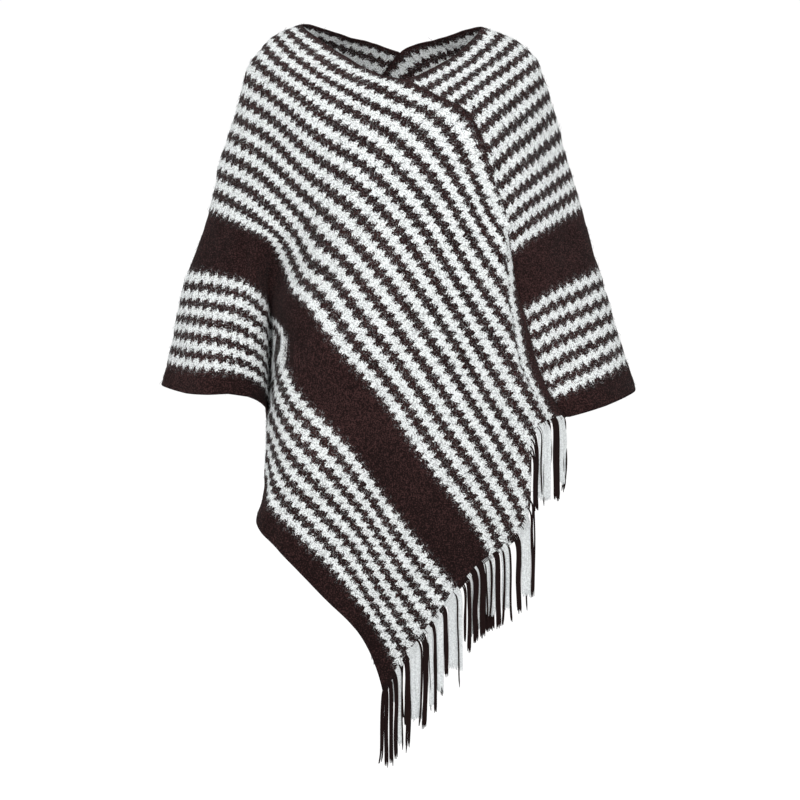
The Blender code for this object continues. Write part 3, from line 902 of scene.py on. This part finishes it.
def stripe_chart(name, kind):
    """A group that says how deep inside dark yarn a place of the cloth is, below zero in pale yarn."""
    inputs = {"Float": ("Across", "Along", "Lean", "Tooth Pitch", "Tooth Height")}
    tree, given, result = new_group(name, kind, inputs, {"Float": ("Depth",)})
    across, along = given["Across"], given["Along"]
    lower = across > 0.5 * sum(WIDE_BAND)
    upper = 1.0 - lower
    start, half = (lower * low + upper * high for low, high in zip(LOWER_STRIPES, UPPER_STRIPES))
    index = ((across - start) / half).do("FLOOR")
    uneven = out(tree, "ShaderNodeTexWhiteNoise", {"W": index}, "Value", noise_dimensions="1D")
    shift = index.do("MULTIPLY_ADD", TOOTH_STEP, uneven * TOOTH_UNEVEN)
    edge = start + half * (index + 0.5)
    square = (across - edge).do("MULTIPLY_ADD", given["Lean"], along - SLEEVE_PACKING)
    pitch = given["Tooth Pitch"] * edge.mapped(*TOOTH_SPREAD_PLACES, *TOOTH_SPREAD)
    moved = across + tooth(square, pitch, shift) * given["Tooth Height"]
    aside = (((moved - start) / half).do("FLOORED_MODULO", 2.0) - 1.0).do("ABSOLUTE")
    stripes = (DARK_SHARE - aside) * half
    wide = (moved - WIDE_BAND[0]).do("MINIMUM", WIDE_BAND[1] - moved)
    bands = (NECK_BAND - moved).do("MAXIMUM", wide)
    ends = (moved - HEM_BAND).do("MAXIMUM", SEWN_END - along)
    stripes.do("MAXIMUM", bands.do("MAXIMUM", ends)).into(result["Depth"])
    return tree


def stitch_group():
    """A group for the knit's stitches: the height of each loop, and a tone for each stitch."""
    inputs = {"Float": ("Across", "Along", "Wale Width", "Course Length")}
    outputs = {"Float": ("Height", "Tone")}
    tree, given, result = new_group("Knit stitches", "ShaderNodeTree", inputs, outputs)
    wale = given["Across"] / given["Wale Width"]
    column = wale.do("FLOOR")
    from_middle = (wale - column - 0.5).do("ABSOLUTE")
    slanted = given["Along"] / given["Course Length"] + from_middle * LOOP_SLANT
    row = slanted.do("FLOOR")
    loop = ((slanted - row) * np.pi).do("SINE").do("POWER", LOOP_ROUND)
    leg = (from_middle * 2.0 * np.pi).do("SINE").do("MAXIMUM", 0.0).do("POWER", LEG_ROUND)
    (loop * leg).into(result["Height"])
    cell = out(tree, "ShaderNodeCombineXYZ", {"X": column, "Y": row})
    tone = out(tree, "ShaderNodeTexWhiteNoise", {"Vector": cell}, "Value", noise_dimensions="2D")
    tone.into(result["Tone"])
    return tree


def noise(vector, scale, detail=2.0):
    """A noise texture over a vector in metres."""
    inputs = {"Vector": vector, "Scale": scale, "Detail": detail}
    return out(vector.tree, "ShaderNodeTexNoise", inputs, "Fac")


def fibre_group():
    """A group for brushed fibres: short streaks lying several ways, one set pale and one set dark."""
    inputs = {"Vector": ("Vector",), "Float": ("Fibre Width", "Fibre Length")}
    tree, given, result = new_group("Brushed fibres", "ShaderNodeTree", inputs, {"Float": ("Pale", "Dark")})
    width, length = given["Fibre Width"], given["Fibre Length"]
    size = out(tree, "ShaderNodeCombineXYZ", {"X": width, "Y": length, "Z": width})
    for name, turns in LOCK_WAYS.items():
        streaks = []
        for turn in turns:
            inputs = {"Vector": given["Vector"], "Angle": turn}
            turned = out(tree, "ShaderNodeVectorRotate", inputs, rotation_type="Z_AXIS")
            spot = out(tree, "ShaderNodeVectorMath", {0: turned, 1: size}, operation="DIVIDE")
            streaks.append(noise(spot, 1.0, 1.0))
        strongest = reduce(lambda first, second: first.do("MAXIMUM", second), streaks)
        (strongest - LOCK_START).into(result[name])
    return tree


def mix_colours(share, first, second):
    """A mix of two colours, each a node's value or a plain colour."""
    node = add_node(share.tree, "ShaderNodeMix", data_type="RGBA")
    colours = [socket for socket in node.inputs if socket.type == "RGBA"]
    for socket, value in zip((node.inputs["Factor"], *colours), (share, first, second)):
        feed(socket, value)
    return Value(share.tree, next(socket for socket in node.outputs if socket.type == "RGBA"))


def shade(colour, amount=1.0):
    """A colour made darker or lighter by a share of itself."""
    return (*(min(1.0, channel * amount) for channel in colour), 1.0)


def toned(value, colour, tone):
    """A yarn's colour, from its darkest to its palest."""
    share = value.mapped(tone.low, tone.high)
    return mix_colours(share, shade(colour, tone.darkest), shade(colour, tone.palest))


def covered(under, over, lock, inside, cover):
    """A colour with locks of another one lying over it."""
    share = lock.mapped(*cover.lock) * inside.mapped(*cover.inside, *cover.share)
    return mix_colours(share, under, shade(over))


def raise_surface(shader, height, relief):
    """Bumps a shader's surface by a height."""
    inputs = dict(zip(("Strength", "Distance", "Height"), (*relief, height)))
    out(height.tree, "ShaderNodeBump", inputs).into(shader.inputs["Normal"])


def new_material(name, knit):
    """A matte yarn finish. Returns the material and its shader."""
    material = bpy.data.materials.new(name)
    material.use_nodes = True
    shader = material.node_tree.nodes["Principled BSDF"]
    shader.inputs["Roughness"].default_value = knit.roughness
    shader.inputs["Specular IOR Level"].default_value = knit.gloss
    shader.inputs["Sheen Weight"].default_value = knit.nap
    shader.inputs["Sheen Roughness"].default_value = knit.nap_roughness
    return material, shader


def brushed(tree, knit):
    """Coordinates with the garment's front in X and Y, and the pale and dark locks of fibres there."""
    spot = out(tree, "ShaderNodeTexCoord", output="Object")
    inputs = {"Vector": spot, "Angle": np.pi / 2}
    spot = out(tree, "ShaderNodeVectorRotate", inputs, rotation_type="X_AXIS")
    group = bpy.data.node_groups.get("Brushed fibres") or fibre_group()
    inputs = {"Vector": spot, "Fibre Width": knit.fibre_width, "Fibre Length": knit.fibre_length}
    locks = place_group(tree, group, inputs)
    return spot, locks["Pale"], locks["Dark"]


def knit_material(knit):
    """Striped knit: toothed stripes whose fibres stray over each other's edges."""
    material, shader = new_material("striped_knit", knit)
    tree = material.node_tree
    across_along = on_cloth(tree, out(tree, "ShaderNodeUVMap", uv_map="cloth"))
    sizes = {"Wale Width": knit.wale_width, "Course Length": knit.course_length}
    stitch = place_group(tree, stitch_group(), across_along | sizes)
    lean = out(tree, "ShaderNodeAttribute", output="Fac", attribute_name="lean")
    sizes = {"Lean": lean, "Tooth Pitch": knit.tooth_pitch, "Tooth Height": knit.tooth_height}
    stripes = place_group(tree, stripe_chart("Stripe chart", "ShaderNodeTree"), across_along | sizes)
    inside = stripes["Depth"]
    spot, pale_lock, dark_lock = brushed(tree, knit)
    grain = noise(spot, GRAIN, 1.5) - 0.5
    cloud = noise(spot, CLOUDS) - 0.5
    slow = noise(spot, SLOW_CHANGE, 1.0) - 0.5
    tone = cloud.do("MULTIPLY_ADD", CLOUD_TONE, grain)
    tone = (stitch["Tone"] - 0.5).do("MULTIPLY_ADD", STITCH_TONE, tone)
    pale = toned(dark_lock.do("MULTIPLY_ADD", LOCK_TONE, tone), knit.pale_yarn, PALE_TONE)
    dark = toned(slow.do("MULTIPLY_ADD", SLOW_TONE, tone), knit.dark_yarn, DARK_TONE)
    pale = covered(pale, knit.dark_yarn, dark_lock, inside, DARK_OVER_PALE)
    dark = covered(dark, knit.pale_yarn, pale_lock, inside, PALE_OVER_DARK)
    strayed = inside - pale_lock * knit.pale_straying + dark_lock * knit.dark_straying
    colour = mix_colours(strayed.mapped(-EDGE_BLUR, EDGE_BLUR), pale, dark)
    colour.into(shader.inputs["Base Color"])
    height = grain.do("MULTIPLY_ADD", GRAIN_RELIEF, stitch["Height"])
    raise_surface(shader, pale_lock.do("MULTIPLY_ADD", LOCK_RELIEF, height), KNIT_RELIEF)
    return material


def yarn_material(name, knit, colour):
    """Loose yarn: two plies twisted together, uneven in tone along its length."""
    material, shader = new_material(name, knit)
    spot, pale_lock, dark_lock = brushed(material.node_tree, knit)
    toned(pale_lock - dark_lock, colour, LOOSE_TONE).into(shader.inputs["Base Color"])
    inputs = {"Vector": spot, "Scale": PLIES, "Distortion": 1.0}
    plies = out(spot.tree, "ShaderNodeTexWave", inputs, "Fac", bands_direction="DIAGONAL")
    raise_surface(shader, plies, YARN_RELIEF)
    return material


def named(tree, name, data_type):
    """An attribute of the geometry."""
    return out(tree, "GeometryNodeInputNamedAttribute", {"Name": name}, "Attribute", data_type=data_type)


def tube(curves, profile, scale):
    """Tubes of a profile along curves, closed at their ends."""
    inputs = {"Curve": curves, "Profile Curve": profile, "Scale": scale, "Fill Caps": True}
    return out(curves.tree, "GeometryNodeCurveToMesh", inputs)


def finished(geometry, material, result):
    """Ends a tree with real geometry of one material."""
    real = out(geometry.tree, "GeometryNodeRealizeInstances", {"Geometry": geometry})
    inputs = {"Geometry": real, "Material": material}
    out(geometry.tree, "GeometryNodeSetMaterial", inputs).into(result["Geometry"])


def fibre_shape(tree, length, thickness):
    """One curved fibre that stands on the cloth and tapers to its tip."""
    end = out(tree, "ShaderNodeCombineXYZ", {"X": length * FIBRE_BEND, "Z": length})
    middle = out(tree, "ShaderNodeCombineXYZ", {"Z": length * FIBRE_MIDDLE})
    inputs = {"Resolution": FIBRE_STEPS, "Start": FIBRE_ROOT, "Middle": middle, "End": end}
    curve = out(tree, "GeometryNodeCurveQuadraticBezier", inputs)
    taper = out(tree, "GeometryNodeSplineParameter", output="Factor").mapped(0.0, 1.0, 1.0, FIBRE_TIP)
    inputs = {"Resolution": FIBRE_SIDES, "Radius": thickness * 0.5}
    return tube(curve, out(tree, "GeometryNodeCurvePrimitiveCircle", inputs), taper)


def fibre_tree():
    """Geometry nodes that stand loose fibres on the cloth, thickest along the edges of the stripes."""
    sizes = ("Tooth Pitch", "Tooth Height", "Density", "Edge Density", "Length", "Thickness", "Colour Side")
    inputs = {"Geometry": ("Geometry",), "Float": sizes, "Int": ("Seed",), "Material": ("Material",)}
    tree, given, result = new_group("Loose fibres", "GeometryNodeTree", inputs, {"Geometry": ("Geometry",)})
    inputs = on_cloth(tree, named(tree, "cloth", "FLOAT_VECTOR")) | {"Lean": named(tree, "lean", "FLOAT")}
    inputs |= {name: given[name] for name in ("Tooth Pitch", "Tooth Height")}
    depth = place_group(tree, stripe_chart("Stripe chart of fibres", "GeometryNodeTree"), inputs)["Depth"]
    inputs = {"Mesh": given["Geometry"], "Density": given["Density"], "Seed": given["Seed"]}
    spread = add_node(tree, "GeometryNodeDistributePointsOnFaces", inputs).outputs
    near_edge = depth.do("ABSOLUTE").mapped(*EDGE_REACH, 1.0, 0.0)
    share = near_edge.mapped(0.0, 1.0, 1.0, given["Edge Density"])
    chance = out(tree, "FunctionNodeRandomValue", {"Seed": CHANCE_SEED}, "Value")
    kept = share > chance * given["Edge Density"]
    on_side = depth * given["Colour Side"] > 0.0
    inputs = {"Min": LEAST_TURN, "Max": MOST_TURN, "Seed": TURN_SEED}
    turn = out(tree, "FunctionNodeRandomValue", inputs, "Value", data_type="FLOAT_VECTOR")
    turn = out(tree, "FunctionNodeEulerToRotation", {"Euler": turn})
    inputs = {"Rotation": Value(tree, spread["Rotation"]), "Rotate By": turn}
    rotation = out(tree, "FunctionNodeRotateRotation", inputs, rotation_space="LOCAL")
    size = out(tree, "FunctionNodeRandomValue", {"Seed": SIZE_SEED}, "Value").mapped(0.0, 1.0, *FIBRE_SIZES)
    shape = fibre_shape(tree, given["Length"], given["Thickness"])
    inputs = {"Points": Value(tree, spread["Points"]), "Selection": kept * on_side}
    inputs |= {"Instance": shape, "Rotation": rotation, "Scale": size}
    finished(out(tree, "GeometryNodeInstanceOnPoints", inputs), given["Material"], result)
    return tree


def yarn_tree():
    """Geometry nodes that make yarn of every line in a mesh, tapered at its tip."""
    inputs = {"Geometry": ("Geometry",), "Float": ("Radius",), "Int": ("Sides",), "Material": ("Material",)}
    tree, given, result = new_group("Fringe yarn", "GeometryNodeTree", inputs, {"Geometry": ("Geometry",)})
    curves = out(tree, "GeometryNodeMeshToCurve", {"Mesh": given["Geometry"]})
    inputs = {"Resolution": given["Sides"], "Radius": given["Radius"]}
    ring = out(tree, "GeometryNodeCurvePrimitiveCircle", inputs)
    finished(tube(curves, ring, named(tree, "thick", "FLOAT")), given["Material"], result)
    return tree


def add_object(name, data):
    """A new object of the scene."""
    made = bpy.data.objects.new(name, data)
    bpy.context.scene.collection.objects.link(made)
    return made


def grown(name, mesh, tree, values):
    """The plain mesh that a node tree makes from another mesh."""
    host = add_object(name + "_host", mesh)
    modifier = host.modifiers.new(tree.name, "NODES")
    modifier.node_group = tree
    for item in tree.interface.items_tree:
        if item.in_out == "INPUT" and item.name in values:
            modifier[item.identifier] = values[item.name]
    graph = bpy.context.evaluated_depsgraph_get()
    made = bpy.data.meshes.new_from_object(host.evaluated_get(graph), depsgraph=graph)
    made.name = name
    bpy.data.objects.remove(host)
    return made


def add_piece(name, mesh, slot, *nodes):
    """Puts a finished piece in the scene, on the garment's one body."""
    piece = add_object(name, mesh)
    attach(piece, "root")
    if nodes:
        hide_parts(*nodes)


def joined_mesh(name, meshes):
    """One mesh of several, each keeping its material."""
    parts = [add_object(name, mesh) for mesh in meshes]
    with bpy.context.temp_override(active_object=parts[0], selected_editable_objects=parts):
        bpy.ops.object.join()
    mesh = parts[0].data
    bpy.data.objects.remove(parts[0])
    mesh.name = name
    return mesh


Yarn = namedtuple("Yarn", "points dark")
Root = namedtuple("Root", "edge inward outward")
Sway = namedtuple("Sway", "reach turns start")


def hanging_yarn(rng, root, hang_x, tip_z, behind, curl, sway, dark):
    """One yarn that leaves the cloth at its root, bends to its hanging line and sways down to its tip."""
    length = root.edge[2] - tip_z + YARN_SLACK
    outside = length * np.linspace(0, 1, YARN_POINTS - len(ROOT_POINTS)) ** POINT_CROWDING
    run = np.concatenate([ROOT_POINTS, outside])
    hanging = np.maximum(run, 0)
    share = hanging / length
    on_cloth = np.exp(-hanging / FRINGE_BEND)
    settled = 1 - on_cloth
    bend = FRINGE_BEND * settled
    points = root.edge - np.where(run < 0, run, bend)[:, None] * root.inward
    points += FRINGE_LIFT * on_cloth[:, None] * root.outward
    points[:, 2] -= hanging - bend
    reach = rng.uniform(*WAVER_REACH, 2)
    start = rng.uniform(0, 2 * np.pi, 2)
    aim = (hang_x - points[-1, 0], behind)
    for axis in (0, 1):
        swing = sway.reach[axis] * np.sin(sway.turns * share + sway.start[axis])
        waver = reach[axis] * np.sin(WAVER_TURNS[axis] * share + start[axis])
        points[:, axis] += settled * (aim[axis] + swing + waver)
    points[:, 0] += curl * share**TIP_CURLING
    return Yarn(points, dark)


def bundle_sway(rng):
    """Sideways and front-to-back sway of one bundle, its turns and its starts."""
    return Sway(rng.uniform(*SWAY_REACH, 2), rng.uniform(*SWAY_TURNS), rng.uniform(0, 2 * np.pi, 2))


def edge_roots(middle, normals):
    """Free edge of a panel: its points, the way back into the cloth, and the way out of the garment."""
    return Root(middle[:, -1], unit(middle[:, -2] - middle[:, -1]), normals[:, -1])


def root_at(roots, across, where):
    """The root at one place across the free edge."""
    edge, inward, outward_way = (
        np.array([np.interp(where, across, values[:, axis]) for axis in range(3)]) for values in roots
    )
    return Root(edge, unit(inward), unit(outward_way))


def front_yarns(rng, roots, across, yarn_step):
    """Yarns of the front fringe, bundle by bundle, each from where its column meets the free end."""
    columns = column_of(roots.edge - FRINGE_BEND * roots.inward)
    yarns = []
    for bundle in FRONT_BUNDLES:
        count = max(1, round(bundle.width * SQUARE / yarn_step))
        at_corner = bundle.column > CORNER_COLUMN
        chosen = across <= EDGE_STRIP if at_corner else across >= EDGE_STRIP + TUCK_DEEPEST + CLEAR_OF_TUCK
        order = np.argsort(columns[chosen])
        sway = bundle_sway(rng)
        spread = 0.5 * (bundle.width - yarn_step / SQUARE) if count > 1 else 0
        for column in bundle.column + np.linspace(-spread, spread, count):
            where = np.interp(column, columns[chosen][order], across[chosen][order])
            root = root_at(roots, across, where)
            scale = square_at(root.edge[1])
            hang_x = EYE_X + (column - MIDDLE_COLUMN) * scale
            tip_z = EYE_Z + (MIDDLE_LINE - bundle.tip - rng.uniform(*FRONT_TIPS)) * scale
            behind = bundle.behind / 1000 + rng.uniform(*FRONT_DEPTHS)
            curl = bundle.curl * SQUARE * rng.uniform(*FRONT_CURLS)
            yarns.append(hanging_yarn(rng, root, hang_x, tip_z, behind, curl, sway, bundle.dark))
    return yarns


def stripe_runs():
    """Start, stop and colour of each stripe across a panel, 1 for dark."""
    edges = [0, NECK_BAND]
    bands = (WIDE_BAND, (HEM_BAND, PANEL_WIDTH))
    for (first, half), count, band in zip((UPPER_STRIPES, LOWER_STRIPES), DARK_STRIPES, bands):
        for k in range(count):
            centre = first + half * (2 * k + 1)
            edges += [centre - DARK_SHARE * half, centre + DARK_SHARE * half]
        edges += band
    return [(start, stop, (k + 1) % 2) for k, (start, stop) in enumerate(zip(edges, edges[1:]))]


def back_yarns(rng, roots, across, yarn_step, length):
    """Yarns of the back fringe, gathered a little stripe by stripe."""
    yarns = []
    for start, stop, dark in stripe_runs():
        gather = BACK_GATHERS[dark]
        edges = np.linspace(start, stop, max(1, round((stop - start) / BACK_GROUP)) + 1)
        for low, high in zip(edges, edges[1:]):
            count = max(2, round((high - low) * gather.full / yarn_step))
            centre = root_at(roots, across, 0.5 * (low + high)).edge
            uneven = (GROUP_SHORTER, GROUP_DRIFT, GROUP_DEPTH)
            shorter, drift, behind = (rng.uniform(*reach) for reach in uneven)
            sway = bundle_sway(rng)
            for where in np.linspace(low, high, count + 2)[1:-1]:
                root = root_at(roots, across, where)
                hang_x = root.edge[0] + gather.drawn_in * (centre[0] - root.edge[0]) + drift
                tip_z = 0.5 * (root.edge[2] + centre[2]) - length + shorter + rng.uniform(*BACK_TIPS)
                curl = rng.uniform(*BACK_CURLS)
                yarns.append(hanging_yarn(rng, root, hang_x, tip_z, behind, curl, sway, dark))
    return yarns


def yarn_lines(name, yarns):
    """A mesh of lines, one for each yarn, which says how thick the yarn is at every point."""
    points = np.concatenate([yarn.points for yarn in yarns])
    first = np.arange(len(yarns))[:, None] * YARN_POINTS + np.arange(YARN_POINTS - 1)[None, :]
    edges = np.stack([first.ravel(), first.ravel() + 1], axis=-1)
    mesh = bpy.data.meshes.new(name)
    mesh.from_pydata(points.tolist(), edges.tolist(), [])
    thick = np.tile(1 - TIP_THINNING * ramp(np.linspace(0, 1, YARN_POINTS), TIP_START, 1.0), len(yarns))
    mesh.attributes.new("thick", "FLOAT", "POINT").data.foreach_set("value", thick.astype(np.float32))
    return mesh


def fringe_mesh(name, yarns, fringe, materials, tree):
    """One mesh of all the yarns of a fringe, pale and dark."""
    meshes = []
    for dark, material in enumerate(materials):
        lines = yarn_lines(f"{name}_{dark}", [yarn for yarn in yarns if yarn.dark == dark])
        values = {"Radius": fringe.yarn_radius, "Sides": fringe.yarn_sides, "Material": material}
        meshes.append(grown(f"{name}_{dark}", lines, tree, values))
    return joined_mesh(name, meshes)


class PonchoKnitSettings(bpy.types.PropertyGroup):
    """The knitted cloth."""

    pale_yarn: FloatVectorProperty(
        name="Pale Yarn", description="Colour of the pale stripes", subtype="COLOR", min=0, max=1,
        default=(0.865, 0.895, 0.90),
    )
    dark_yarn: FloatVectorProperty(
        name="Dark Yarn", description="Colour of the dark stripes and bands", subtype="COLOR", min=0, max=1,
        default=(0.0225, 0.0103, 0.0100),
    )
    tooth_pitch: FloatProperty(
        name="Tooth Pitch", description="Distance between teeth along a stripe",
        unit="LENGTH", default=0.0148,
    )
    tooth_height: FloatProperty(
        name="Tooth Height", description="Height of a stripe's teeth", unit="LENGTH", default=0.0062
    )
    wale_width: FloatProperty(
        name="Wale Width", description="Width of a column of stitches", unit="LENGTH", default=0.0019
    )
    course_length: FloatProperty(
        name="Course Length", description="Length of one stitch", unit="LENGTH", default=0.0016
    )
    fibre_width: FloatProperty(
        name="Fibre Width", description="Width of a brushed lock of fibres", unit="LENGTH", default=0.0013
    )
    fibre_length: FloatProperty(
        name="Fibre Length", description="Length of a brushed lock of fibres", unit="LENGTH", default=0.0030
    )
    pale_straying: FloatProperty(
        name="Pale Straying", description="How far pale fibres stray over dark yarn",
        unit="LENGTH", default=0.017,
    )
    dark_straying: FloatProperty(
        name="Dark Straying", description="How far dark fibres stray over pale yarn",
        unit="LENGTH", default=0.011,
    )
    roughness: FloatProperty(
        name="Roughness", description="Roughness of the yarn", min=0, max=1, default=0.95
    )
    gloss: FloatProperty(
        name="Gloss", description="Strength of the yarn's reflections", min=0, max=1, default=0.03
    )
    nap: FloatProperty(
        name="Nap", description="Soft sheen of the raised fibres", min=0, max=1, default=0.03
    )
    nap_roughness: FloatProperty(
        name="Nap Roughness", description="Roughness of the sheen", min=0, max=1, default=0.6
    )


class PonchoFibreSettings(bpy.types.PropertyGroup):
    """The loose fibres that stand on the knit."""

    length: FloatProperty(name="Length", description="Length of a fibre", unit="LENGTH", default=0.0062)
    thickness: FloatProperty(
        name="Thickness", description="Thickness at its root", unit="LENGTH", default=0.00048
    )
    density: FloatProperty(name="Density", description="Fibres tried on a square metre", default=47000.0)
    edge_density: FloatProperty(
        name="Edge Density", description="How many more stand on a stripe's edge", default=5.0
    )
    seed: IntProperty(name="Seed", description="Pattern of the fibres", default=11)


class PonchoFringeSettings(bpy.types.PropertyGroup):
    """The fringes."""

    length: FloatProperty(
        name="Length", description="Hanging length of the fringe", unit="LENGTH", default=0.098
    )
    yarn_radius: FloatProperty(
        name="Yarn Radius", description="Radius of one yarn", unit="LENGTH", default=0.00105
    )
    yarn_step: FloatProperty(
        name="Yarn Step", description="Distance between yarns", unit="LENGTH", default=0.00135
    )
    yarn_sides: IntProperty(name="Yarn Sides", description="Sides of one yarn", min=3, max=12, default=6)
    seed: IntProperty(name="Seed", description="Pattern of the yarns", default=5)


class PonchoStageSettings(bpy.types.PropertyGroup):
    """The floor, lights and camera."""

    floor_height: FloatProperty(
        name="Floor Height", description="Height of the floor", unit="LENGTH", default=-1.45
    )
    floor_glow: FloatProperty(
        name="Floor Glow", description="Brightness added where the floor is seen", default=0.62
    )
    sky: FloatProperty(name="Sky", description="Strength of the even light all round", default=0.70)
    key: FloatProperty(name="Key", description="Power of the soft main light in watts", default=41.0)
    fill: FloatProperty(name="Fill", description="Strength of the light from behind", default=1.2)


class PONCHO_OT_panels(bpy.types.Operator):
    """Build both striped panels"""

    bl_idname = "poncho.panels"
    bl_label = "Panels"

    def execute(self, context):
        across, along = stations()
        material = knit_material(context.scene.poncho_knit)
        for side, (middle, normals) in zip(("right", "left"), sewn_panels()):
            mesh = knit_wall(f"knit_{side}", middle, normals, chart(middle, across, along, side))
            mesh.materials.append(material)
            add_piece(f"knit_{side}", mesh, "striped_knit", f"panel_{side}")
        return {"FINISHED"}


class PONCHO_OT_fibres(bpy.types.Operator):
    """Stand loose fibres on both panels"""

    bl_idname = "poncho.fibres"
    bl_label = "Fibres"

    def execute(self, context):
        across, along = stations()
        knit, fibre = context.scene.poncho_knit, context.scene.poncho_fibre
        tree = fibre_tree()
        pale = yarn_material("pale_fibre", knit, knit.pale_yarn)
        dark = yarn_material("dark_fibre", knit, knit.dark_yarn)
        values = {
            "Tooth Pitch": knit.tooth_pitch,
            "Tooth Height": knit.tooth_height,
            "Density": fibre.density,
            "Edge Density": fibre.edge_density,
            "Length": fibre.length,
            "Thickness": fibre.thickness,
            "Seed": fibre.seed,
        }
        for side, (middle, normals) in zip(("right", "left"), sewn_panels()):
            name = f"fibres_{side}"
            made = []
            for sign, material in ((-1.0, pale), (1.0, dark)):
                host = outer_face(name, middle, normals, chart(middle, across, along, side))
                made.append(grown(name, host, tree, values | {"Colour Side": sign, "Material": material}))
            add_piece(name, joined_mesh(name, made), "striped_knit")
        return {"FINISHED"}


class PONCHO_OT_fringes(bpy.types.Operator):
    """Hang the front and back fringes"""

    bl_idname = "poncho.fringes"
    bl_label = "Fringes"

    def execute(self, context):
        knit, fringe = context.scene.poncho_knit, context.scene.poncho_fringe
        across, _ = stations()
        right, left = (edge_roots(*panel) for panel in sewn_panels())
        rng = np.random.default_rng(fringe.seed)
        # The fringe's yarns are the knit's own yarns darkened: painted shade on the hanging fringe
        pale, dark = (shade(*yarn)[:3] for yarn in zip((knit.pale_yarn, knit.dark_yarn), FRINGE_PAINTED_SHADE))
        materials = (yarn_material("pale_fringe_painted_shade", knit, pale), yarn_material("dark_fringe_painted_shade", knit, dark))
        tree = yarn_tree()
        front = front_yarns(rng, right, across, fringe.yarn_step)
        back = back_yarns(rng, left, across, fringe.yarn_step, fringe.length)
        for side, yarns in (("front", front), ("back", back)):
            mesh = fringe_mesh(f"strands_{side}", yarns, fringe, materials, tree)
            add_piece(f"strands_{side}", mesh, "fringe_yarn", f"fringe_{side}")
        return {"FINISHED"}


def lit_when_seen(tree, socket, unseen, seen):
    """Feeds a socket one strength for the light it gives, and another where the camera sees it."""
    looked_at = out(tree, "ShaderNodeLightPath", output="Is Camera Ray")
    looked_at.mapped(0.0, 1.0, unseen, seen).into(socket)


def add_floor(stage):
    """A wide pale floor."""
    place_at = (0, 0, stage.floor_height)
    bpy.ops.mesh.primitive_circle_add(
        vertices=FLOOR_SIDES, radius=FLOOR_RADIUS, fill_type="NGON", location=place_at
    )
    floor = bpy.context.object
    floor.name = "floor"
    material = bpy.data.materials.new("pale_floor")
    material.use_nodes = True
    sockets = material.node_tree.nodes["Principled BSDF"].inputs
    sockets["Base Color"].default_value = shade((FLOOR_GREY,) * 3)
    sockets["Roughness"].default_value = FLOOR_ROUGHNESS
    sockets["Specular IOR Level"].default_value = 0.0
    sockets["Emission Color"].default_value = (1, 1, 1, 1)
    lit_when_seen(material.node_tree, sockets["Emission Strength"], 0.0, stage.floor_glow)
    floor.data.materials.append(material)


def add_lights(stage):
    """An even pale studio all round, a soft wide main light in front, and a fill from behind."""
    world = bpy.data.worlds.new("studio")
    bpy.context.scene.world = world
    world.use_nodes = True
    sockets = world.node_tree.nodes["Background"].inputs
    sockets["Color"].default_value = (1, 1, 1, 1)
    lit_when_seen(world.node_tree, sockets["Strength"], stage.sky, BACKDROP)
    key = add_object("key", bpy.data.lights.new("key", "AREA"))
    key.data.energy = stage.key
    key.data.shape = "RECTANGLE"
    key.data.size, key.data.size_y = KEY_SIZE
    key.location = KEY_PLACE
    key.rotation_euler = (np.radians(KEY_TILT), 0, 0)
    key.visible_camera = False
    fill = add_object("fill", bpy.data.lights.new("fill", "SUN"))
    fill.data.energy = stage.fill
    fill.data.angle = np.radians(FILL_SPREAD)
    fill.rotation_euler = FILL_TURN


def add_camera(scene):
    """The eye that the front elevation is drawn from."""
    camera = add_object("camera", bpy.data.cameras.new("camera"))
    camera.data.lens = camera.data.sensor_width * EYE_DISTANCE / (2 * MIDDLE_COLUMN * SQUARE)
    camera.data.clip_end = VIEW_REACH
    camera.location = (EYE_X, -EYE_DISTANCE, EYE_Z)
    camera.rotation_euler = (np.pi / 2, 0, 0)
    scene.camera = camera
    scene.view_settings.view_transform = "Standard"


class PONCHO_OT_stage(bpy.types.Operator):
    """Set the floor, lights and camera"""

    bl_idname = "poncho.stage"
    bl_label = "Stage"

    def execute(self, context):
        add_floor(context.scene.poncho_stage)
        add_lights(context.scene.poncho_stage)
        add_camera(context.scene)
        return {"FINISHED"}


class PONCHO_PT_sidebar(bpy.types.Panel):
    """Settings and steps of the poncho"""

    bl_idname = "PONCHO_PT_sidebar"
    bl_label = "Knitted Poncho"
    bl_space_type = "VIEW_3D"
    bl_region_type = "UI"
    bl_category = "Poncho"

    def draw(self, context):
        for operator, settings in (
            (PONCHO_OT_panels, context.scene.poncho_knit),
            (PONCHO_OT_fibres, context.scene.poncho_fibre),
            (PONCHO_OT_fringes, context.scene.poncho_fringe),
            (PONCHO_OT_stage, context.scene.poncho_stage),
        ):
            box = self.layout.box()
            for name in settings.bl_rna.properties.keys():
                if name not in ("rna_type", "name"):
                    box.prop(settings, name)
            box.operator(operator.bl_idname)


SETTINGS = {
    "poncho_knit": PonchoKnitSettings,
    "poncho_fibre": PonchoFibreSettings,
    "poncho_fringe": PonchoFringeSettings,
    "poncho_stage": PonchoStageSettings,
}
OPERATORS = (PONCHO_OT_panels, PONCHO_OT_fibres, PONCHO_OT_fringes, PONCHO_OT_stage)


def register():
    for each in (*SETTINGS.values(), *OPERATORS, PONCHO_PT_sidebar):
        bpy.utils.register_class(each)
    for name, group in SETTINGS.items():
        setattr(bpy.types.Scene, name, PointerProperty(type=group))


def unregister():
    for name in SETTINGS:
        delattr(bpy.types.Scene, name)
    for each in (PONCHO_PT_sidebar, *reversed(OPERATORS), *reversed(SETTINGS.values())):
        bpy.utils.unregister_class(each)


def main():
    register()
    bpy.ops.poncho.panels()
    bpy.ops.poncho.fibres()
    bpy.ops.poncho.fringes()
    bpy.ops.poncho.stage()


if __name__ == "__main__":
    main()
